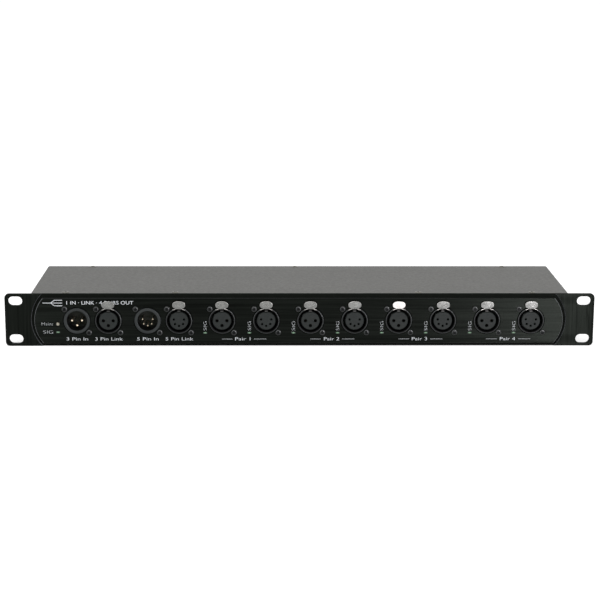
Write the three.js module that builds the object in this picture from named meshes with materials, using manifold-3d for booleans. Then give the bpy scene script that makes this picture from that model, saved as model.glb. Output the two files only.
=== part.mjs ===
// A one-unit rack splitter for a lighting data line. Two inputs with their through sockets sit on
// the left of the front panel, and eight output sockets in four pairs follow to the right.
// Millimetres. X runs to the right along the front, Y goes back into the rack and Z is up.
// The origin is the middle of the underside of the chassis tray.

import * as THREE from 'three';
import { mergeVertices } from 'three/addons/utils/BufferGeometryUtils.js';
import Module from 'manifold-3d';

// Rack panel: ears, slots, and the raised middle field with its arc ends
const PANEL_HEIGHT = 43.7;
const PANEL_THICK = 3.0;
const PANEL_CORNER_R = 3.4;
const SLOT_LENGTH = 11.4;
const SLOT_HEIGHT = 7.4;
const SLOT_EDGE_X = 8.75;
const SLOT_EDGE_Z = 5.975;
const FIELD_PROUD = 3.0;
const FIELD_WALL = 3.0;
const FIELD_END_MARGIN = 24.3;
const FIELD_EDGE_MARGIN = 2.9;
const FIELD_ARC_R = 28.7;
const FIELD_BEVEL = 0.4;
const CHANNEL_WIDTH = 2.5;
const CHANNEL_DEPTH = 1.2;
const CHANNEL_CHAMFER = 1.2;
const POCKET_RIM = 2.6;

// Where the sockets stand along the field
const ROW_LEFT_MARGIN = 34.6;
const ROW_RIGHT_MARGIN = 28.1;
const THROUGH_GAP = 1.8;
const INPUT_GAP = 8.2;
const BLOCK_GAP = 11.3;
const OUTPUT_GAP = 12.343;
const OUTPUT_PAIRS = 4;

// Sockets: shell, insert and contacts
const RING_R = 10.75;
const RING_WALL = 1.1;
const RING_PROUD = 0.8;
const RING_BEVEL = 0.4;
const RING_CLEARANCE = 0.4;
const SOCKET_DEPTH = 13.7;
const PLUG_GAP = 1.9;
const MALE_BORE_R = 8.15;
const FLANGE_LIP = 1.15;
const FLANGE_THICK = 2.0;
const FLANGE_CORNER_R = 2.6;
const INSERT_RECESS = 0.5;
const INSERT_CHAMFER = 0.3;
const INSERT_BASE_THICK = 2.8;
const SEAT_GAP = 0.35;
const KEY_WIDTH = 1.7;
const KEY_HEIGHT = 0.4;
const KEY_ANGLE = 139;
const CONTACTS = {
  3: { circleR: 4.05, holeR: 1.5, pinR: 1.2, angles: [180, -90, 0] },
  5: { circleR: 4.5, holeR: 1.05, pinR: 0.8, angles: [170, -135, -90, -45, 10] },
};
const LEAD_IN_DEPTH = 5;
const PIN_LENGTH = 12.4;

// Push latch of a female socket: one stamped plate with an arm and a nose bent back from it
const TAB_WIDTH = 10.8;
const TAB_HEIGHT = 6.5;
const TAB_LIFT = 2.95;
const LATCH_METAL = 0.8;
const LATCH_STANDOFF = 1.5;
const LATCH_TRAVEL = 1.7;
const LATCH_RAMP = 45;
const LATCH_GAP = 0.35;
const NECK_WIDTH = 5.4;
const FOOT_SPREAD = 10.4;
const FOOT_TIP = 0.5;
const ARM_LENGTH = 11.5;
const NOSE_WIDTH = 2.4;
const NOSE_BACK = 8.7;
const NOSE_LENGTH = 6.0;
const RAIL_WIDTH = 1.0;

// Indicator lamps
const LAMP_WIDTH = 3.0;
const LAMP_HEIGHT = 1.4;
const LAMP_PROUD = 0.15;
const LAMP_COLLAR = 1.5;
const LAMP_SIDE_GAP = 0.4;
const LAMP_DROP = 10.1;
const LAMP_CLEARANCE = 0.1;
const LEAD_WIDTH = 0.5;
const STATUS_SIDE_GAP = 3.6;
const POWER_LAMP_DROP = 2.7;
const POWER_LAMP_R = 1.5;
const DATA_LAMP_DROP = 9.5;

// Folded chassis tray and its cover
const BODY_INSET = 20.3;
const BODY_DEPTH = 115;
const SHEET = 1.2;
const COVER_DROP = 0.5;
const COVER_LIP = 9;
const COVER_BEND_R = 1.8;
const COVER_GAP = 0.1;
const TRAY_FLANGE = 12;
const WINDOW_INSET = 4;

// Circuit boards
const BOARD_THICK = 1.6;
const BOARD_EDGE_GAP = 1.0;
const BOARD_GAP = 0.35;
const STANDOFF_HEIGHT = 6;
const STANDOFF_R = 3;
const STANDOFF_INSET = 6;
const LOGIC_BOARD = { width: 200, depth: 62, front: 32, sideGap: 16 };
const SUPPLY_BOARD = { depth: 54, front: 36, sideGap: 15, middleGap: 9 };
const CHIP = { length: 9.6, width: 6.4, height: 3.4 };
const CAPACITOR = { radius: 5, height: 12, pitch: 13 };
const HEADER = { length: 30, width: 8, height: 9 };
const TRANSFORMER = { width: 38, depth: 32, headroom: 7.2, windowShare: 0.62, bobbinShare: 0.8 };

// Mains inlet with its fuse drawer
const INLET_INSET = 41;
const INLET_DEPTH = 24;
const BEZEL_LIP = 1.6;
const BEZEL_THICK = 2.2;
const BEZEL_CORNER_R = 2;
const CUTOUT_CLEARANCE = 0.3;
const CAVITY = { width: 24.2, height: 16.4, depth: 16.2, chamfer: 4.4 };
const CAVITY_WALL = 1.3;
const SIDE_WALL = 1.6;
const DIVIDER = 4.8;
const BLADE = { width: 2, height: 4, length: 13.4, spacing: 14, earthRise: 4 };
const TERMINAL = { width: 6.3, thick: 0.8, length: 8 };
const DRAWER = { width: 23.4, height: 7.6, depth: 16.2, grip: 1.2, gripWidth: 9, face: 3.4 };
const DRAWER_GAP = 0.3;
const FUSE = { length: 20, capR: 2.6, glassR: 2.35, capLength: 5 };

// Rocker switch
const SWITCH_SPACING = 30;
const SWITCH_WIDTH = 12.9;
const SWITCH_HEIGHT = 19.2;
const SWITCH_DEPTH = 14;
const SWITCH_BEZEL = 1.8;
const ROCKER = { width: 10, endR: 8.5, crown: 3.2, root: 4, tilt: 8 };
const ROCKER_GAP = 0.3;
const PIVOT_INSET = 3.3;

// Roundness of the facets
const RING_SIDES = 20;
const INSERT_SIDES = 14;
const HOLE_SIDES = { 3: 7, 5: 5 };
const PIN_SIDES = { 3: 8, 5: 6 };
const SMALL_SIDES = 10;
const CORNER_STEPS = 2;
const FINE_CORNER_STEPS = 1;
const ARC_STEPS = 6;
const LATCH_STEPS = 4;
const OVERRUN = 2;

// Sizes, planes and places that the values above lead to, measured from the ears' front face
const FLANGE_SIZE = 2 * (RING_R + FLANGE_LIP);
const THROUGH_PITCH = FLANGE_SIZE + THROUGH_GAP;
const INPUT_PITCH = THROUGH_PITCH + FLANGE_SIZE + INPUT_GAP;
const BLOCK_PITCH = FLANGE_SIZE + BLOCK_GAP;
const OUTPUT_PITCH = FLANGE_SIZE + OUTPUT_GAP;
const OUTPUT_X = INPUT_PITCH + THROUGH_PITCH + BLOCK_PITCH;
const ROW_LENGTH = OUTPUT_X + (2 * OUTPUT_PAIRS - 1) * OUTPUT_PITCH;
const PANEL_WIDTH = 2 * FIELD_END_MARGIN + ROW_LEFT_MARGIN + ROW_LENGTH + ROW_RIGHT_MARGIN;
const AXIS_Z = PANEL_HEIGHT / 2;
const FIELD_Y = -FIELD_PROUD;
const SEAT_Y = FIELD_Y + FIELD_WALL;
const RING_Y = FIELD_Y - RING_PROUD;
const BORE_R = RING_R - RING_WALL;
const INSERT_R = BORE_R - PLUG_GAP;
const BASE_R = BORE_R - SEAT_GAP;
const BASE_Y = RING_Y + SOCKET_DEPTH;
const BASE_BACK_Y = BASE_Y + INSERT_BASE_THICK;
const SHELL_BACK_Y = BASE_BACK_Y + SEAT_GAP;
const SOCKET_BOARD_Y = SHELL_BACK_Y + BOARD_GAP;
const FIELD_END_X = PANEL_WIDTH / 2 - FIELD_END_MARGIN;
const ARC_X = FIELD_END_X - FIELD_ARC_R;
const FIELD_HALF = AXIS_Z - FIELD_EDGE_MARGIN;
const LATCH_FRONT_Y = FIELD_Y - LATCH_STANDOFF - LATCH_METAL;
const LATCH_LIFT = LATCH_TRAVEL * Math.sin(THREE.MathUtils.degToRad(LATCH_RAMP));
const ARM_Z = RING_R + LATCH_GAP;
const TAB_RISE = RING_R + TAB_LIFT;
const NOTCH_TOP = ARM_Z + LATCH_METAL + LATCH_LIFT + LATCH_GAP;
const NOTCH_HALF = NECK_WIDTH / 2 + LATCH_GAP;
const BACK_Y = BODY_DEPTH;
const COVER_TOP = PANEL_HEIGHT - COVER_DROP;
const TRAY_TOP = COVER_TOP - SHEET;
const BODY_HALF = PANEL_WIDTH / 2 - BODY_INSET;
const TRAY_HALF = BODY_HALF - SHEET - COVER_GAP;
const TRAY_INNER = TRAY_HALF - SHEET;
const TRAY_MID_Y = (PANEL_THICK + BACK_Y) / 2;
const INLET_X = BODY_HALF - INLET_INSET;
const INLET_WIDTH = CAVITY.width + 2 * SIDE_WALL;
const INLET_HEIGHT = CAVITY.height + DIVIDER + DRAWER.height + 2 * CAVITY_WALL;
const SWITCH_X = INLET_X - SWITCH_SPACING;
const BOARD_TOP = SHEET + STANDOFF_HEIGHT + BOARD_THICK;
const SUPPLY_WIDTH = 2 * STANDOFF_INSET + TRANSFORMER.width + SUPPLY_BOARD.middleGap + 3 * CAPACITOR.radius;
const SUPPLY_RIGHT = SWITCH_X - SUPPLY_BOARD.sideGap;
const LOGIC_RIGHT = SUPPLY_RIGHT - SUPPLY_WIDTH - LOGIC_BOARD.sideGap;
const SUPPLY = { ...SUPPLY_BOARD, width: SUPPLY_WIDTH, x: SUPPLY_RIGHT - SUPPLY_WIDTH / 2 };
const LOGIC = { ...LOGIC_BOARD, x: LOGIC_RIGHT - LOGIC_BOARD.width / 2 };
const DRAWER_Z = AXIS_Z - INLET_HEIGHT / 2 + CAVITY_WALL + DRAWER.height / 2;
const DRAWER_FACE_Y = BACK_Y + BEZEL_THICK;
const FUSE_R = FUSE.capR + DRAWER_GAP;
const FUSE_Y = DRAWER_FACE_Y - DRAWER.face - FUSE_R;
const FUSE_Z = DRAWER_Z + DRAWER.height / 2 - DRAWER_GAP - FUSE_R;
const ROCKER_PIVOT_Y = BACK_Y + SWITCH_BEZEL - PIVOT_INSET;

const wasm = await Module();
wasm.setup();

// A closed three.js geometry as a solid that can be joined and cut
function toSolid(geometry) {
  const bare = geometry.clone();
  bare.deleteAttribute('normal');
  bare.deleteAttribute('uv');
  const merged = mergeVertices(bare);
  const index = merged.index.array;
  const triangles = [];
  for (let i = 0; i < index.length; i += 3) {
    const [a, b, c] = [index[i], index[i + 1], index[i + 2]];
    if (a !== b && b !== c && c !== a) triangles.push(a, b, c);
  }
  return new wasm.Manifold(new wasm.Mesh({
    numProp: 3,
    vertProperties: new Float32Array(merged.attributes.position.array),
    triVerts: new Uint32Array(triangles),
  }));
}

// The solid's surface as a geometry for a mesh
function toGeometry(solid) {
  const mesh = solid.getMesh();
  const geometry = new THREE.BufferGeometry();
  geometry.setAttribute('position', new THREE.BufferAttribute(new Float32Array(mesh.vertProperties), 3));
  geometry.setIndex(new THREE.BufferAttribute(new Uint32Array(mesh.triVerts), 1));
  geometry.computeVertexNormals();
  return geometry;
}

function join(...solids) {
  return solids.reduce((whole, piece) => whole.add(piece));
}

function cut(solid, ...tools) {
  return tools.reduce((rest, tool) => rest.subtract(tool), solid);
}

// A block between two corners
function block([x0, x1], [y0, y1], [z0, z1]) {
  const geometry = new THREE.BoxGeometry(x1 - x0, y1 - y0, z1 - z0);
  geometry.translate((x0 + x1) / 2, (y0 + y1) / 2, (z0 + z1) / 2);
  return toSolid(geometry);
}

// A span of the given width about a middle
function about(middle, width) {
  return [middle - width / 2, middle + width / 2];
}

// An outline drawn in X and Z, made solid from a front plane to a back plane along Y
function plate(shape, frontY, backY, steps = CORNER_STEPS) {
  const geometry = new THREE.ExtrudeGeometry(shape, {
    depth: backY - frontY, bevelEnabled: false, curveSegments: steps,
  });
  geometry.rotateX(Math.PI / 2);
  geometry.translate(0, backY, 0);
  return toSolid(geometry);
}

// An outline drawn in Y and Z, made solid over a width along X
function sideways(shape, width, steps = CORNER_STEPS) {
  const geometry = new THREE.ExtrudeGeometry(shape, {
    depth: width, bevelEnabled: false, curveSegments: steps,
  });
  geometry.translate(0, 0, -width / 2);
  const turn = new THREE.Matrix4().makeBasis(
    new THREE.Vector3(0, 1, 0), new THREE.Vector3(0, 0, 1), new THREE.Vector3(1, 0, 0),
  );
  geometry.applyMatrix4(turn);
  return toSolid(geometry);
}

// A profile of [radius, y] points turned round the Y axis
function turned(profile, sides) {
  const points = profile.map(([radius, y]) => new THREE.Vector2(radius, y));
  return toSolid(new THREE.LatheGeometry(points, sides));
}

// A pillar along Z
function upright(radius, lowZ, highZ) {
  const geometry = new THREE.CylinderGeometry(radius, radius, highZ - lowZ, SMALL_SIDES);
  geometry.rotateX(Math.PI / 2);
  geometry.translate(0, 0, (lowZ + highZ) / 2);
  return toSolid(geometry);
}

// A rod along Y
function rod(radius, frontY, backY, sides) {
  return turned([[0, frontY], [radius, frontY], [radius, backY], [0, backY]], sides);
}

function polygon(points) {
  return new THREE.Shape(points.map(([x, y]) => new THREE.Vector2(x, y)));
}

function roundedRect(centreX, centreZ, width, height, radius) {
  const [x0, x1] = about(centreX, width);
  const [z0, z1] = about(centreZ, height);
  const shape = new THREE.Shape();
  shape.absarc(x1 - radius, z0 + radius, radius, -Math.PI / 2, 0);
  shape.absarc(x1 - radius, z1 - radius, radius, 0, Math.PI / 2);
  shape.absarc(x0 + radius, z1 - radius, radius, Math.PI / 2, Math.PI);
  shape.absarc(x0 + radius, z0 + radius, radius, Math.PI, Math.PI * 3 / 2);
  shape.closePath();
  return shape;
}

// The field's outline: straight above and below, with an arc at each end
function lens(radius, halfHeight) {
  const angle = Math.asin(halfHeight / radius);
  const shape = new THREE.Shape();
  shape.absarc(ARC_X, AXIS_Z, radius, -angle, angle);
  shape.absarc(-ARC_X, AXIS_Z, radius, Math.PI - angle, Math.PI + angle);
  shape.closePath();
  return shape;
}

// A lens-shaped solid whose edge slopes in at its front and back by the same bevel
function bevelledLens(radius, halfHeight, frontY, backY, bevel, offset) {
  const geometry = new THREE.ExtrudeGeometry(lens(radius, halfHeight), {
    depth: backY - frontY - 2 * bevel.depth,
    bevelEnabled: true,
    bevelSegments: 1,
    bevelThickness: bevel.depth,
    bevelSize: bevel.width,
    bevelOffset: offset,
    curveSegments: ARC_STEPS,
  });
  geometry.rotateX(Math.PI / 2);
  geometry.translate(0, backY - bevel.depth, 0);
  return toSolid(geometry);
}

// The twelve sockets from left to right
function socketList() {
  const sockets = [];
  const firstX = -FIELD_END_X + ROW_LEFT_MARGIN;
  [3, 5].forEach((contacts, i) => {
    const x = firstX + i * INPUT_PITCH;
    sockets.push({ name: `input_${contacts}pin`, x, contacts, male: true });
    sockets.push({ name: `through_${contacts}pin`, x: x + THROUGH_PITCH, contacts, male: false });
  });
  for (let i = 0; i < 2 * OUTPUT_PAIRS; i += 1) {
    const contacts = i % 2 === 0 ? 3 : 5;
    const name = `output${Math.floor(i / 2) + 1}_${contacts}pin`;
    const x = firstX + OUTPUT_X + i * OUTPUT_PITCH;
    sockets.push({ name, x, contacts, male: false, lamp: true });
  }
  return sockets;
}

const SOCKETS = socketList();

// Lamp places: two status lamps left of the first socket, then one beside each output
function lampList() {
  const statusX = SOCKETS[0].x - FLANGE_SIZE / 2 - STATUS_SIDE_GAP;
  const besideX = FLANGE_SIZE / 2 + LAMP_SIDE_GAP + LAMP_WIDTH / 2;
  const lamps = [
    { name: 'power_lamp', x: statusX, z: AXIS_Z - POWER_LAMP_DROP, round: true },
    { name: 'data_lamp', x: statusX, z: AXIS_Z - DATA_LAMP_DROP },
  ];
  for (const socket of SOCKETS.filter((each) => each.lamp)) {
    lamps.push({ name: `${socket.name}_lamp`, x: socket.x - besideX, z: AXIS_Z - LAMP_DROP });
  }
  return lamps;
}

const LAMPS = lampList();

function contactPlaces(contacts) {
  const { circleR, angles } = CONTACTS[contacts];
  return angles.map((degrees) => {
    const angle = THREE.MathUtils.degToRad(degrees);
    return [circleR * Math.cos(angle), circleR * Math.sin(angle)];
  });
}

function frontPanel() {
  let panel = plate(
    roundedRect(0, AXIS_Z, PANEL_WIDTH, PANEL_HEIGHT, PANEL_CORNER_R), 0, PANEL_THICK,
  );
  const slope = { depth: CHANNEL_DEPTH, width: CHANNEL_CHAMFER };
  const channel = bevelledLens(
    FIELD_ARC_R + CHANNEL_WIDTH, AXIS_Z + OVERRUN, -CHANNEL_DEPTH - OVERRUN, CHANNEL_DEPTH, slope, 0,
  );
  const edge = { depth: FIELD_BEVEL, width: FIELD_BEVEL };
  const field = bevelledLens(
    FIELD_ARC_R, FIELD_HALF, FIELD_Y, CHANNEL_DEPTH + 2 * FIELD_BEVEL, edge, -FIELD_BEVEL,
  );
  const pocket = plate(
    lens(FIELD_ARC_R - POCKET_RIM, FIELD_HALF - POCKET_RIM), SEAT_Y, PANEL_THICK + OVERRUN, ARC_STEPS,
  );
  panel = cut(join(cut(panel, channel), field), pocket);

  const slotX = PANEL_WIDTH / 2 - SLOT_EDGE_X;
  for (const x of [-slotX, slotX]) {
    for (const z of [SLOT_EDGE_Z, PANEL_HEIGHT - SLOT_EDGE_Z]) {
      const slot = roundedRect(x, z, SLOT_LENGTH, SLOT_HEIGHT, SLOT_HEIGHT / 2);
      panel = cut(panel, plate(slot, -OVERRUN, PANEL_THICK + OVERRUN));
    }
  }
  for (const socket of SOCKETS) {
    const hole = rod(RING_R + RING_CLEARANCE, RING_Y - OVERRUN, SEAT_Y + OVERRUN, RING_SIDES);
    let opening = hole;
    if (!socket.male) {
      const notch = block([-NOTCH_HALF, NOTCH_HALF], [RING_Y - OVERRUN, SEAT_Y + OVERRUN], [0, NOTCH_TOP]);
      opening = join(hole, notch);
    }
    panel = cut(panel, opening.translate([socket.x, 0, AXIS_Z]));
  }
  for (const lamp of LAMPS) panel = cut(panel, lampHole(lamp).translate([lamp.x, 0, lamp.z]));
  return panel;
}

function lampHole(lamp) {
  if (lamp.round) {
    return rod(POWER_LAMP_R + RING_CLEARANCE, FIELD_Y - OVERRUN, SEAT_Y + OVERRUN, SMALL_SIDES);
  }
  return block(
    about(0, LAMP_WIDTH + 2 * LAMP_CLEARANCE),
    [FIELD_Y - OVERRUN, SEAT_Y + OVERRUN],
    about(0, LAMP_HEIGHT + 2 * LAMP_CLEARANCE),
  );
}

// The metal shell of a socket, with its mounting flange behind the panel
function socketShell(male) {
  const barrel = turned([
    [0, RING_Y],
    [RING_R - RING_BEVEL, RING_Y],
    [RING_R, RING_Y + RING_BEVEL],
    [RING_R, SHELL_BACK_Y],
    [0, SHELL_BACK_Y],
  ], RING_SIDES);
  const outline = roundedRect(0, 0, FLANGE_SIZE, FLANGE_SIZE, FLANGE_CORNER_R);
  const flange = plate(outline, SEAT_Y, SEAT_Y + FLANGE_THICK, FINE_CORNER_STEPS);
  const body = join(barrel, flange);
  if (male) {
    return cut(
      body,
      rod(MALE_BORE_R, RING_Y - OVERRUN, SHELL_BACK_Y, RING_SIDES),
      rod(BORE_R, BASE_Y - SEAT_GAP, SHELL_BACK_Y + OVERRUN, RING_SIDES),
    );
  }
  const armBackY = LATCH_FRONT_Y + ARM_LENGTH;
  const noseY = LATCH_FRONT_Y + NOSE_BACK;
  const slotHalf = NOSE_WIDTH / 2 + LATCH_GAP;
  const rails = [-1, 1].map((side) => block(
    about(side * (NOTCH_HALF + RAIL_WIDTH / 2), RAIL_WIDTH), [SEAT_Y, armBackY], [BORE_R, NOTCH_TOP],
  ));
  return cut(
    join(body, ...rails),
    rod(BORE_R, RING_Y - OVERRUN, SHELL_BACK_Y + OVERRUN, RING_SIDES),
    block([-NOTCH_HALF, NOTCH_HALF], [SEAT_Y - OVERRUN, armBackY + OVERRUN], [RING_R, NOTCH_TOP + OVERRUN]),
    block([-slotHalf, slotHalf], [noseY - NOSE_LENGTH, noseY + 2 * LATCH_TRAVEL], [INSERT_R, NOTCH_TOP]),
  );
}

// The insulating core of a female socket, with the lead-ins of its contacts and its key rib
function femaleInsert(contacts) {
  const faceY = RING_Y + INSERT_RECESS;
  const core = turned([
    [0, faceY],
    [INSERT_R - INSERT_CHAMFER, faceY],
    [INSERT_R, faceY + INSERT_CHAMFER],
    [INSERT_R, BASE_Y],
    [BASE_R, BASE_Y],
    [BASE_R, BASE_BACK_Y],
    [0, BASE_BACK_Y],
  ], INSERT_SIDES);
  const rib = block(
    [INSERT_R - 2 * KEY_HEIGHT, INSERT_R + KEY_HEIGHT], [faceY + INSERT_CHAMFER, BASE_Y], about(0, KEY_WIDTH),
  ).rotate([0, -KEY_ANGLE, 0]);
  const { holeR } = CONTACTS[contacts];
  const wells = contactPlaces(contacts).map(([x, z]) => rod(
    holeR, faceY - OVERRUN, faceY + LEAD_IN_DEPTH, HOLE_SIDES[contacts],
  ).translate([x, 0, z]));
  return cut(join(core, rib), ...wells);
}

// The pin carrier of a male socket: a disc with its moulded-in pins
function maleInsert(contacts) {
  const disc = rod(BASE_R, BASE_Y, BASE_BACK_Y, INSERT_SIDES);
  const { pinR } = CONTACTS[contacts];
  const tipY = BASE_Y - PIN_LENGTH;
  const pins = contactPlaces(contacts).map(([x, z]) => turned([
    [0, tipY],
    [pinR / 2, tipY],
    [pinR, tipY + pinR],
    [pinR, BASE_Y + SEAT_GAP],
    [0, BASE_Y + SEAT_GAP],
  ], PIN_SIDES[contacts]).translate([x, 0, z]));
  return join(disc, ...pins);
}

// The stamped outline of the latch seen from the front: oval tab, waist and two flared feet
function latchOutline() {
  const semiX = TAB_WIDTH / 2;
  const semiZ = TAB_HEIGHT / 2;
  const waist = NECK_WIDTH / 2;
  const shoulder = Math.acos(waist / semiX);
  const shoulderZ = TAB_RISE - semiZ * Math.sin(shoulder);
  const footR = RING_R + LATCH_GAP / 2;
  const tipX = FOOT_SPREAD / 2;
  const tipZ = Math.sqrt(footR ** 2 - tipX ** 2);
  const shape = new THREE.Shape();
  shape.moveTo(tipX, tipZ);
  shape.lineTo(tipX, tipZ + FOOT_TIP);
  shape.quadraticCurveTo(waist, tipZ + 2 * FOOT_TIP, waist, shoulderZ);
  shape.absellipse(0, TAB_RISE, semiX, semiZ, -shoulder, Math.PI + shoulder);
  shape.quadraticCurveTo(-waist, tipZ + 2 * FOOT_TIP, -tipX, tipZ + FOOT_TIP);
  shape.lineTo(-tipX, tipZ);
  shape.quadraticCurveTo(0, 2 * footR - tipZ, tipX, tipZ);
  return shape;
}

function latch() {
  const tab = plate(latchOutline(), LATCH_FRONT_Y, LATCH_FRONT_Y + LATCH_METAL, LATCH_STEPS);
  const arm = block(
    about(0, NECK_WIDTH), [LATCH_FRONT_Y, LATCH_FRONT_Y + ARM_LENGTH], [ARM_Z, ARM_Z + LATCH_METAL],
  );
  const noseTip = INSERT_R + LATCH_GAP;
  const backY = LATCH_FRONT_Y + NOSE_BACK;
  const nose = sideways(polygon([
    [backY, noseTip],
    [backY, ARM_Z + LATCH_METAL / 2],
    [backY - NOSE_LENGTH, ARM_Z + LATCH_METAL / 2],
    [backY - NOSE_LENGTH / 2, noseTip],
  ]), NOSE_WIDTH);
  return join(tab, arm, nose);
}

// The two leads of a lamp, from its collar to the upright board
function lampLeads(halfSpacing, collarBackY) {
  return [-1, 1].map((side) => block(
    about(side * halfSpacing, LEAD_WIDTH), [collarBackY - LEAD_WIDTH, SOCKET_BOARD_Y], about(0, LEAD_WIDTH),
  ));
}

// A lamp in the field: lens, a collar behind the wall, and leads to the upright board
function squareLamp() {
  const frontY = FIELD_Y - LAMP_PROUD;
  const collarBackY = SEAT_Y + LAMP_COLLAR;
  const leads = lampLeads(LAMP_WIDTH / 3, collarBackY);
  return join(
    block(about(0, LAMP_WIDTH), [frontY, SEAT_Y + LEAD_WIDTH], about(0, LAMP_HEIGHT)),
    block(about(0, LAMP_WIDTH), [SEAT_Y, collarBackY], about(0, 2 * LAMP_HEIGHT)),
    ...leads,
  );
}

function roundLamp() {
  const domeY = FIELD_Y - LAMP_PROUD;
  const collarR = POWER_LAMP_R + RING_CLEARANCE + LEAD_WIDTH;
  const lampBody = turned([
    [0, domeY - POWER_LAMP_R / 2],
    [POWER_LAMP_R * Math.SQRT1_2, domeY - POWER_LAMP_R / 3],
    [POWER_LAMP_R, domeY],
    [POWER_LAMP_R, SEAT_Y],
    [collarR, SEAT_Y],
    [collarR, SEAT_Y + LAMP_COLLAR],
    [0, SEAT_Y + LAMP_COLLAR],
  ], SMALL_SIDES);
  const leads = lampLeads(POWER_LAMP_R / 2, SEAT_Y + LAMP_COLLAR);
  return join(lampBody, ...leads);
}

// The folded tray: a floor between two side walls, with the pillars that carry the boards
function chassisTray() {
  const deep = [PANEL_THICK, BACK_Y];
  return join(
    block([-TRAY_HALF, TRAY_HALF], deep, [0, SHEET]),
    block([-TRAY_HALF, -TRAY_INNER], deep, [0, TRAY_TOP]),
    block([TRAY_INNER, TRAY_HALF], deep, [0, TRAY_TOP]),
    ...standoffs(LOGIC),
    ...standoffs(SUPPLY),
  );
}

function standoffs(board) {
  const [x0, x1] = about(board.x, board.width - 2 * STANDOFF_INSET);
  const [y0, y1] = [board.front + STANDOFF_INSET, board.front + board.depth - STANDOFF_INSET];
  const pillar = upright(STANDOFF_R, 0, SHEET + STANDOFF_HEIGHT);
  return [[x0, y0], [x1, y0], [x0, y1], [x1, y1]].map(([x, y]) => pillar.translate([x, y, 0]));
}

// The frame behind the panel. Its window follows the panel's pocket, and its top edge is folded back
function frontFrame() {
  const wide = [-TRAY_INNER, TRAY_INNER];
  const window = block(
    about(0, 2 * (TRAY_INNER - WINDOW_INSET)),
    [PANEL_THICK - OVERRUN, PANEL_THICK + SHEET + OVERRUN],
    about(AXIS_Z, 2 * (FIELD_HALF - POCKET_RIM)),
  );
  const wall = block(wide, [PANEL_THICK, PANEL_THICK + SHEET], [SHEET, TRAY_TOP]);
  const flange = block(wide, [PANEL_THICK, PANEL_THICK + TRAY_FLANGE], [TRAY_TOP - SHEET, TRAY_TOP]);
  return join(cut(wall, window), flange);
}

// The rear wall, cut out for the inlet and the switch, with its top edge folded forward
function rearPanel() {
  const wide = [-TRAY_INNER, TRAY_INNER];
  const through = [BACK_Y - TRAY_FLANGE - OVERRUN, BACK_Y + OVERRUN];
  const wall = block(wide, [BACK_Y - SHEET, BACK_Y], [SHEET, TRAY_TOP]);
  const flange = block(wide, [BACK_Y - TRAY_FLANGE, BACK_Y], [TRAY_TOP - SHEET, TRAY_TOP]);
  return cut(
    join(wall, flange),
    block(
      about(INLET_X, INLET_WIDTH + 2 * CUTOUT_CLEARANCE),
      through,
      about(AXIS_Z, INLET_HEIGHT + 2 * CUTOUT_CLEARANCE),
    ),
    block(
      about(SWITCH_X, SWITCH_WIDTH + 2 * CUTOUT_CLEARANCE),
      through,
      about(AXIS_Z, SWITCH_HEIGHT + 2 * CUTOUT_CLEARANCE),
    ),
  );
}

// The cover: a flat top with bent lips that hang over the tray's sides
function topCover() {
  const outerX = BODY_HALF;
  const innerX = outerX - SHEET;
  const lipZ = COVER_TOP - COVER_LIP;
  const bend = COVER_BEND_R;
  const shape = new THREE.Shape();
  shape.moveTo(innerX, lipZ);
  shape.lineTo(outerX, lipZ);
  shape.absarc(outerX - bend, COVER_TOP - bend, bend, 0, Math.PI / 2);
  shape.absarc(-outerX + bend, COVER_TOP - bend, bend, Math.PI / 2, Math.PI);
  shape.lineTo(-outerX, lipZ);
  shape.lineTo(-innerX, lipZ);
  shape.lineTo(-innerX, TRAY_TOP);
  shape.lineTo(innerX, TRAY_TOP);
  shape.closePath();
  return plate(shape, PANEL_THICK, BACK_Y);
}

// The upright board that every socket and lamp is soldered to
function socketBoard() {
  const half = FIELD_END_X - BOARD_EDGE_GAP - (ROW_RIGHT_MARGIN - FLANGE_SIZE / 2);
  const [z0, z1] = about(AXIS_Z, 2 * (FIELD_HALF - POCKET_RIM - BOARD_EDGE_GAP));
  return block([-half, half], [SOCKET_BOARD_Y, SOCKET_BOARD_Y + BOARD_THICK], [z0, z1]);
}

function boardBlank(board) {
  const deep = [board.front, board.front + board.depth];
  return block(about(board.x, board.width), deep, [BOARD_TOP - BOARD_THICK, BOARD_TOP]);
}

// The logic board: a driver chip and an isolator for each output, and a cable header
function logicBoard() {
  const outputs = 2 * OUTPUT_PAIRS;
  const pitch = (LOGIC.width - 4 * STANDOFF_INSET) / outputs;
  const middleY = LOGIC.front + LOGIC.depth / 2;
  const pieces = [boardBlank(LOGIC)];
  for (let i = 0; i < outputs; i += 1) {
    const x = LOGIC.x + (i - (outputs - 1) / 2) * pitch;
    for (const row of [-1, 1]) {
      const y = middleY + row * CHIP.length;
      pieces.push(block(
        about(x, CHIP.width),
        about(y, CHIP.length),
        [BOARD_TOP - BOARD_THICK, BOARD_TOP + CHIP.height],
      ));
    }
  }
  const headerY = LOGIC.front + HEADER.width;
  pieces.push(block(
    about(LOGIC.x, HEADER.length),
    about(headerY, HEADER.width),
    [BOARD_TOP - BOARD_THICK, BOARD_TOP + HEADER.height],
  ));
  return join(...pieces);
}

// The supply board, with its two smoothing capacitors beside the transformer
function supplyBoard() {
  const x = SUPPLY.x + SUPPLY.width / 2 - STANDOFF_INSET - 2 * CAPACITOR.radius;
  const middleY = SUPPLY.front + SUPPLY.depth / 2;
  const can = upright(CAPACITOR.radius, BOARD_TOP - BOARD_THICK, BOARD_TOP + CAPACITOR.height);
  const cans = [-1, 1].map((side) => can.translate([x, middleY + side * CAPACITOR.pitch / 2, 0]));
  return join(boardBlank(SUPPLY), ...cans);
}

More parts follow.
